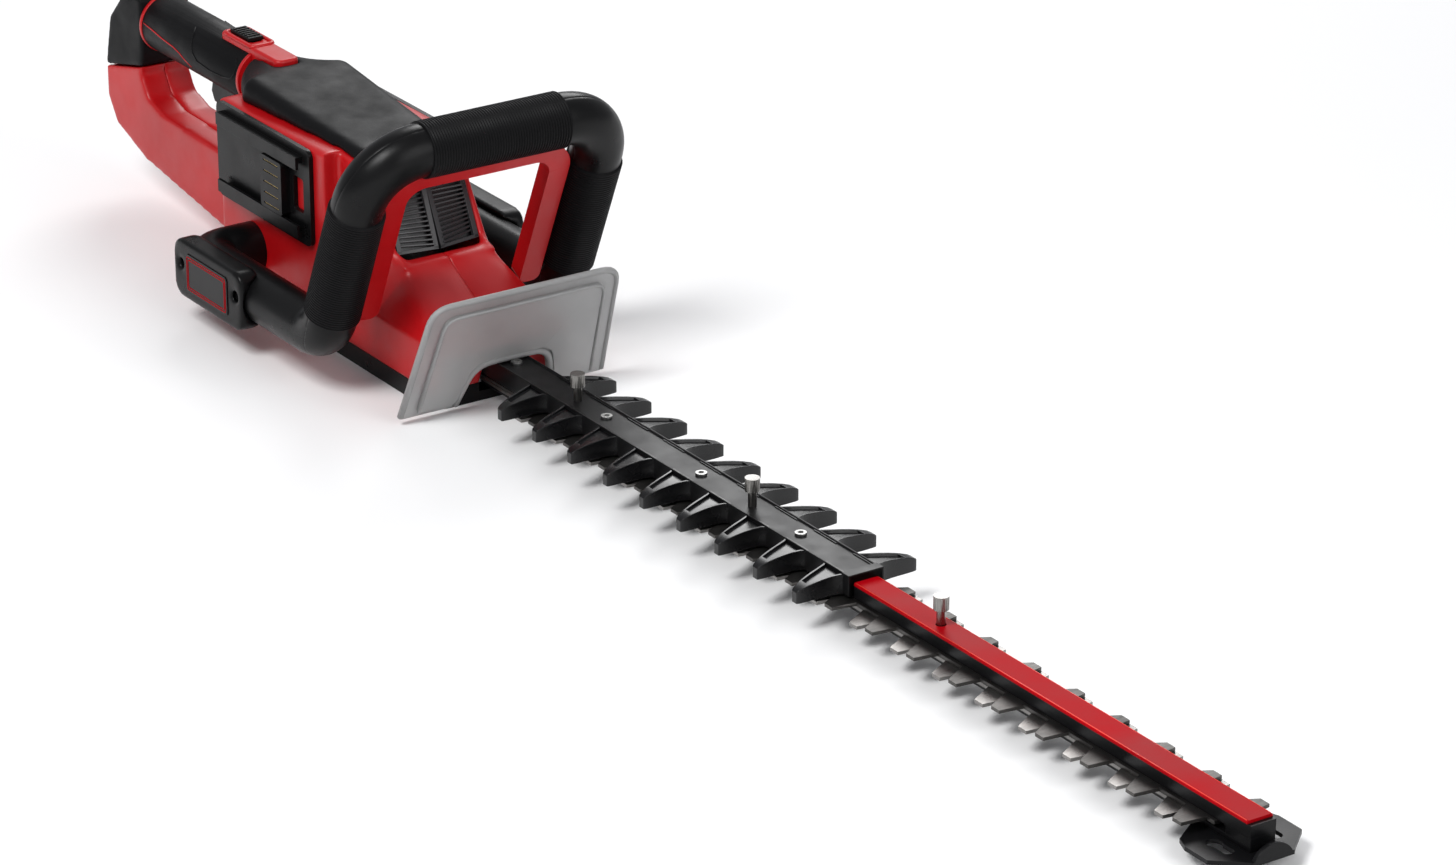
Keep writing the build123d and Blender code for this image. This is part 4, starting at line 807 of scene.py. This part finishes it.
@dataclass
class Grilles:
    """Two louvred panels in the tower's window, meeting in a shallow ridge."""

    bench: Bench
    ribs: int = 12
    border: float = 0.07
    rib_share: float = 0.46
    rib_sunk: float = 0.9 * MM
    rib_depth: float = 2.8 * MM
    post_share: float = 0.12
    rail_share: float = 0.06
    bar_sunk: float = 0.6 * MM
    bar_depth: float = 3.2 * MM
    back_sunk: float = 5.0 * MM
    back_depth: float = 1.0 * MM
    edge: float = 0.3 * MM

    # The posts' places across, the rails' places up and the ribs' ends across, as shares of the panel.
    POSTS = (0.06, 0.95)
    RAILS = (0.02, 0.98)
    RIB_ENDS = (0.1, 0.9)

    # Corners of the left panel: X, Y and Z in millimetres.
    RIDGE_TOP = Vector((-18.5, 0.3, 110.0))
    RIDGE_FOOT = Vector((2.5, 0.3, 74.5))
    OUTER_TOP = Vector((-15.0, 27.0, 110.0))
    OUTER_FOOT = Vector((-5.0, 28.5, 76.5))

    def panel(self, name: str, side: int) -> None:
        """Make one panel in place of its CAD node.

        Args:
            name: the CAD node.
            side: -1 for the right, 1 for the left.
        """
        flip = Vector((1, side, 1))
        corners = [
            Vector(a * b for a, b in zip(c, flip)) * MM
            for c in (self.RIDGE_FOOT, self.RIDGE_TOP, self.OUTER_TOP, self.OUTER_FOOT)
        ]
        foot, top, outer_top, outer_foot = corners
        rise = ((top - foot) + (outer_top - outer_foot)) / 2
        width = ((outer_foot - foot) + (outer_top - top)) / 2
        out = width.cross(rise).normalized() * side
        if out.x < 0:
            out = -out
        bm = bmesh.new()

        def spot(u: float, v: float) -> Vector:
            """A point on the panel: u across from the ridge, v up from the foot."""
            low = foot.lerp(outer_foot, u)
            high = top.lerp(outer_top, u)
            return low.lerp(high, v)

        add_block(bm, spot(0.5, 0.5) - out * self.back_sunk, width, rise, out * self.back_depth)
        for u in self.POSTS:
            middle = spot(u, 0.5) - out * self.bar_sunk
            add_block(bm, middle, width * self.post_share, rise, out * self.bar_depth)
        for v in self.RAILS:
            middle = spot(0.5, v) - out * self.bar_sunk
            add_block(bm, middle, width, rise * self.rail_share, out * self.bar_depth)
        pitch = (1 - 2 * self.border) / self.ribs
        start, end = self.RIB_ENDS
        for index in range(self.ribs):
            v = self.border + pitch * (index + 0.5)
            middle = spot(0.5, v) - out * self.rib_sunk
            across = spot(end, v) - spot(start, v)
            add_block(bm, middle, across, rise * pitch * self.rib_share, out * self.rib_depth)
        self.bench.place(bm, name + "_louvres", "black_plastic", stands_for=(name,), edge=self.edge)

    def build(self) -> None:
        """Make both panels."""
        self.panel("vent_grille_right", -1)
        self.panel("vent_grille_left", 1)


@dataclass
class Trim:
    """Thin lines and small parts: badge frames, grip lines, the button's pad and the strip's edges, whose
    lighter red is a painted highlight.
    """

    bench: Bench
    seam_line: float = 0.45 * MM
    panel_line: float = 0.63 * MM
    frame_line: float = 0.315 * MM
    frame_insets: tuple = (1.8 * MM, 3.4 * MM)
    frame_corner: float = 1.6 * MM
    pad_length: float = 24.0 * MM
    pad_width: float = 11.0 * MM
    pad_height: float = 2.8 * MM
    pad_lift: float = 0.15 * MM
    pad_travel: float = 6.0 * MM
    pad_edge: float = 0.7 * MM
    pad_ribs: int = 6
    ribbed_length: float = 0.86
    rib_reach: float = 0.84
    rib_width: float = 1.5 * MM
    rib_height: float = 1.4 * MM
    rib_edge: float = 0.25 * MM
    collar_gap: float = 2.3 * MM
    collar_sunk: float = 0.2 * MM
    collar_corner: float = 4.0 * MM
    collar_radius: float = 1.6 * MM
    strip_inset: float = 0.75 * MM
    strip_end: float = 1.0 * MM
    strip_sunk: float = 0.25 * MM
    strip_radius: float = 0.32 * MM

    # Millimetres along the grip, and degrees round it from straight up.
    SEAM = ((2, 78), (14, 82), (28, 88), (42, 92), (50, 98), (56, 108), (62, 118))
    PANEL = (
        (58, 34), (62, 50), (64, 66), (68, 82), (74, 94), (90, 98),
        (106, 96), (118, 90), (122, 78), (122, 62), (118, 48),
    )

    def badge_frames(self) -> None:
        """Run a double line round each arm badge."""
        low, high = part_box("arm_badges")
        bm = bmesh.new()
        for y in (low.y, high.y):
            for inset in self.frame_insets:
                x0, x1 = low.x + inset, high.x - inset
                z0, z1 = low.z + inset, high.z - inset
                corners = [Vector((x0, y, z0)), Vector((x1, y, z0)), Vector((x1, y, z1)), Vector((x0, y, z1))]
                add_bead(bm, rounded(corners, self.frame_corner), self.frame_line, closed=True)
        self.bench.place(bm, "badge_frames", "red_paint")

    def grip_path(self, points: tuple, side: int) -> list:
        """Lay a path on the grip's skin.

        Args:
            points: how far along the grip and how far round it each point is, as in SEAM.
            side: -1 for the right, 1 for the left.

        Returns:
            The path's places in the frame.
        """
        low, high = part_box("rear_grip")
        radius = (high.y - low.y) / 2
        middle = high.z - radius
        path = []
        for along, angle in points:
            turn = math.radians(side * angle)
            path.append(
                Vector((low.x + along * MM, radius * math.sin(turn), middle + radius * math.cos(turn)))
            )
        return path

    def grip_lines(self) -> None:
        """Lay the red seam lines and the raised panel lines on the grip."""
        red = bmesh.new()
        dark = bmesh.new()
        for side in (-1, 1):
            add_bead(red, self.grip_path(self.SEAM, side), self.seam_line, closed=False)
            add_bead(dark, self.grip_path(self.PANEL, side), self.panel_line, closed=False)
        self.bench.place(red, "grip_seam_lines", "red_plastic")
        self.bench.place(dark, "grip_panel_lines", "black_rubber")

    def button(self) -> None:
        """Cap the lock button with a ribbed thumb pad, inside a raised collar."""
        low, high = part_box("lock_button")
        _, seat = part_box("switch_surround")
        length, width, height = self.pad_length, self.pad_width, self.pad_height
        middle = Vector(((low.x + high.x) / 2, 0, seat.z + self.pad_lift + height / 2))
        pad = bmesh.new()
        add_block(pad, middle, Vector((length, 0, 0)), Vector((0, width, 0)), Vector((0, 0, height)))
        self.bench.place(pad, "button_pad", "black_plastic", body="lock_button", edge=self.pad_edge)
        ribs = bmesh.new()
        for index in range(self.pad_ribs):
            x = middle.x + length * self.ribbed_length * ((index + 0.5) / self.pad_ribs - 0.5)
            add_block(
                ribs, Vector((x, 0, middle.z + height / 2)), Vector((self.rib_width, 0, 0)),
                Vector((0, width * self.rib_reach, 0)), Vector((0, 0, self.rib_height)),
            )
        self.bench.place(ribs, "button_ribs", "black_plastic", body="lock_button", edge=self.rib_edge)
        collar = bmesh.new()
        half_x, half_y = length / 2 + self.pad_travel, width / 2 + self.collar_gap
        centre = middle.x + self.pad_travel / 2
        corners = [
            Vector((centre + a * half_x, b * half_y, seat.z - self.collar_sunk))
            for a, b in ((-1, -1), (1, -1), (1, 1), (-1, 1))
        ]
        add_bead(collar, rounded(corners, self.collar_corner), self.collar_radius, closed=True)
        self.bench.place(collar, "button_collar", "red_plastic")

    def strip_edge_highlights(self) -> None:
        """Draw the rolled edges of the red strip as beads whose lighter red is a painted highlight."""
        low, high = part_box("rail_strip")
        bm = bmesh.new()
        for y in (low.y + self.strip_inset, high.y - self.strip_inset):
            run = (low.x + self.strip_end, high.x - self.strip_end)
            ends = [Vector((x, y, high.z - self.strip_sunk)) for x in run]
            add_bead(bm, ends, self.strip_radius, closed=False)
        self.bench.place(bm, "strip_edge_highlights", "red_paint")

    def build(self) -> None:
        """Make all the trim."""
        self.badge_frames()
        self.grip_lines()
        self.button()
        self.strip_edge_highlights()


@dataclass
class CarriedNodes:
    """CAD nodes whose shape is right: they keep it, and get a finish and eased edges."""

    edge: float = 0.35 * MM
    fine_edge: float = 0.12 * MM

    FINE = (
        "terminal_blades", "motor_fan", "thumb_screw_1", "thumb_screw_2", "thumb_screw_3",
        "upper_blade", "lower_blade", "drive_gear", "motor_pinion",
    )
    BROAD = {
        "switch_bar": 1.4 * MM,
        "base_plate": 1.2 * MM,
        "hand_guard": 0.7 * MM,
        "rear_grip": 0.5 * MM,
    }

    def dress(self, finishes: Finishes) -> None:
        """Dress every CAD node that is still shown.

        Args:
            finishes: the tool's finishes.
        """
        slots = {row["node"]: row["material_slot"] for row in frame["record"]["subparts"]}
        for name, node in frame["nodes"].items():
            if node.hide_render:
                continue
            finishes.dress(node, slots[name])
            width = self.fine_edge if name in self.FINE else self.BROAD.get(name, self.edge)
            ease_edges(node, width)
            LOG.info("dressed %s in %s", name, slots[name])


# ------------------------------------------------------------------ studio


@dataclass(frozen=True)
class Lamp:
    """One soft, square area light: its place, its side in metres and its power in watts."""

    name: str
    place: tuple
    size: float
    power: float


@dataclass
class Studio:
    """Floor, lights and camera."""

    azimuth: float = 56.28
    elevation: float = 23.08
    distance: float = 2.928
    lens: float = 133.3
    sensor: float = 36.0
    far: float = 50.0
    target: tuple = (0.3723, -0.0402, 0.0961)
    floor_size: float = 14.0
    floor_tone: tuple = (0.93, 0.93, 0.93, 1.0)
    floor_roughness: float = 0.9
    sky_tone: tuple = (0.95, 0.96, 1.0, 1.0)
    sky_strength: float = 0.36
    lit_spot: tuple = (0.15, 0.0, 0.05)

    LAMPS = (
        Lamp("key", (0.6, -1.6, 2.2), size=1.0, power=52.0),
        Lamp("fill", (2.4, 0.4, 1.2), size=1.6, power=22.0),
        Lamp("rim", (-1.6, 1.4, 1.6), size=1.2, power=26.0),
    )

    def floor(self) -> None:
        """Lay a plain pale floor under the tool's lowest point."""
        low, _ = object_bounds()
        bm = bmesh.new()
        bmesh.ops.create_grid(bm, x_segments=1, y_segments=1, size=self.floor_size / 2)
        bmesh.ops.translate(bm, verts=bm.verts, vec=(0, 0, low.z))
        mesh = bpy.data.meshes.new("floor")
        bm.to_mesh(mesh)
        bm.free()
        floor = bpy.data.objects.new("floor", mesh)
        bpy.context.scene.collection.objects.link(floor)
        g = Graph("pale_floor")
        g.set(Base_Color=self.floor_tone, Roughness=self.floor_roughness, Specular_IOR_Level=0.0)
        mesh.materials.append(g.material)
        floor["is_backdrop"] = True

    def hang(self, lamp: Lamp) -> None:
        """Hang one light, aimed at the tool's body.

        Args:
            lamp: the light.
        """
        data = bpy.data.lights.new(lamp.name, "AREA")
        data.size = lamp.size
        data.energy = lamp.power
        light = bpy.data.objects.new(lamp.name, data)
        light.location = lamp.place
        aim = Vector(self.lit_spot) - Vector(lamp.place)
        light.rotation_euler = aim.to_track_quat("-Z", "Y").to_euler()
        bpy.context.scene.collection.objects.link(light)

    def lights(self) -> None:
        """Set a pale sky, an overhead key, a side fill and a rim."""
        world = bpy.data.worlds.new("sky")
        world.use_nodes = True
        background = world.node_tree.nodes["Background"]
        background.inputs["Color"].default_value = self.sky_tone
        background.inputs["Strength"].default_value = self.sky_strength
        bpy.context.scene.world = world
        for lamp in self.LAMPS:
            self.hang(lamp)

    def camera(self) -> None:
        """Place the camera from its bearing, height angle and distance."""
        a, e = math.radians(self.azimuth), math.radians(self.elevation)
        back = Vector((math.sin(a) * math.cos(e), -math.cos(a) * math.cos(e), math.sin(e)))
        data = bpy.data.cameras.new("camera")
        data.lens = self.lens
        data.sensor_width = self.sensor
        data.clip_end = self.far
        cam = bpy.data.objects.new("camera", data)
        cam.location = Vector(self.target) + back * self.distance
        cam.rotation_euler = (-back).to_track_quat("-Z", "Y").to_euler()
        bpy.context.scene.collection.objects.link(cam)
        bpy.context.scene.camera = cam

    def build(self) -> None:
        """Set up the whole studio."""
        bpy.context.scene.view_settings.view_transform = "Standard"
        self.floor()
        self.lights()
        self.camera()


def main() -> None:
    """Build every sub-assembly in order, then the studio."""
    logging.basicConfig(level=logging.INFO, format="%(message)s")
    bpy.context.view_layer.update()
    finishes = Finishes()
    bench = Bench(finishes)
    Mouldings(bench).build()
    ToothGuard(bench).build()
    HandGuardRims(bench).build()
    RibbedSleeves(bench).build()
    Grilles(bench).build()
    Trim(bench).build()
    CarriedNodes().dress(finishes)
    Studio().build()


if __name__ == "__main__":
    main()
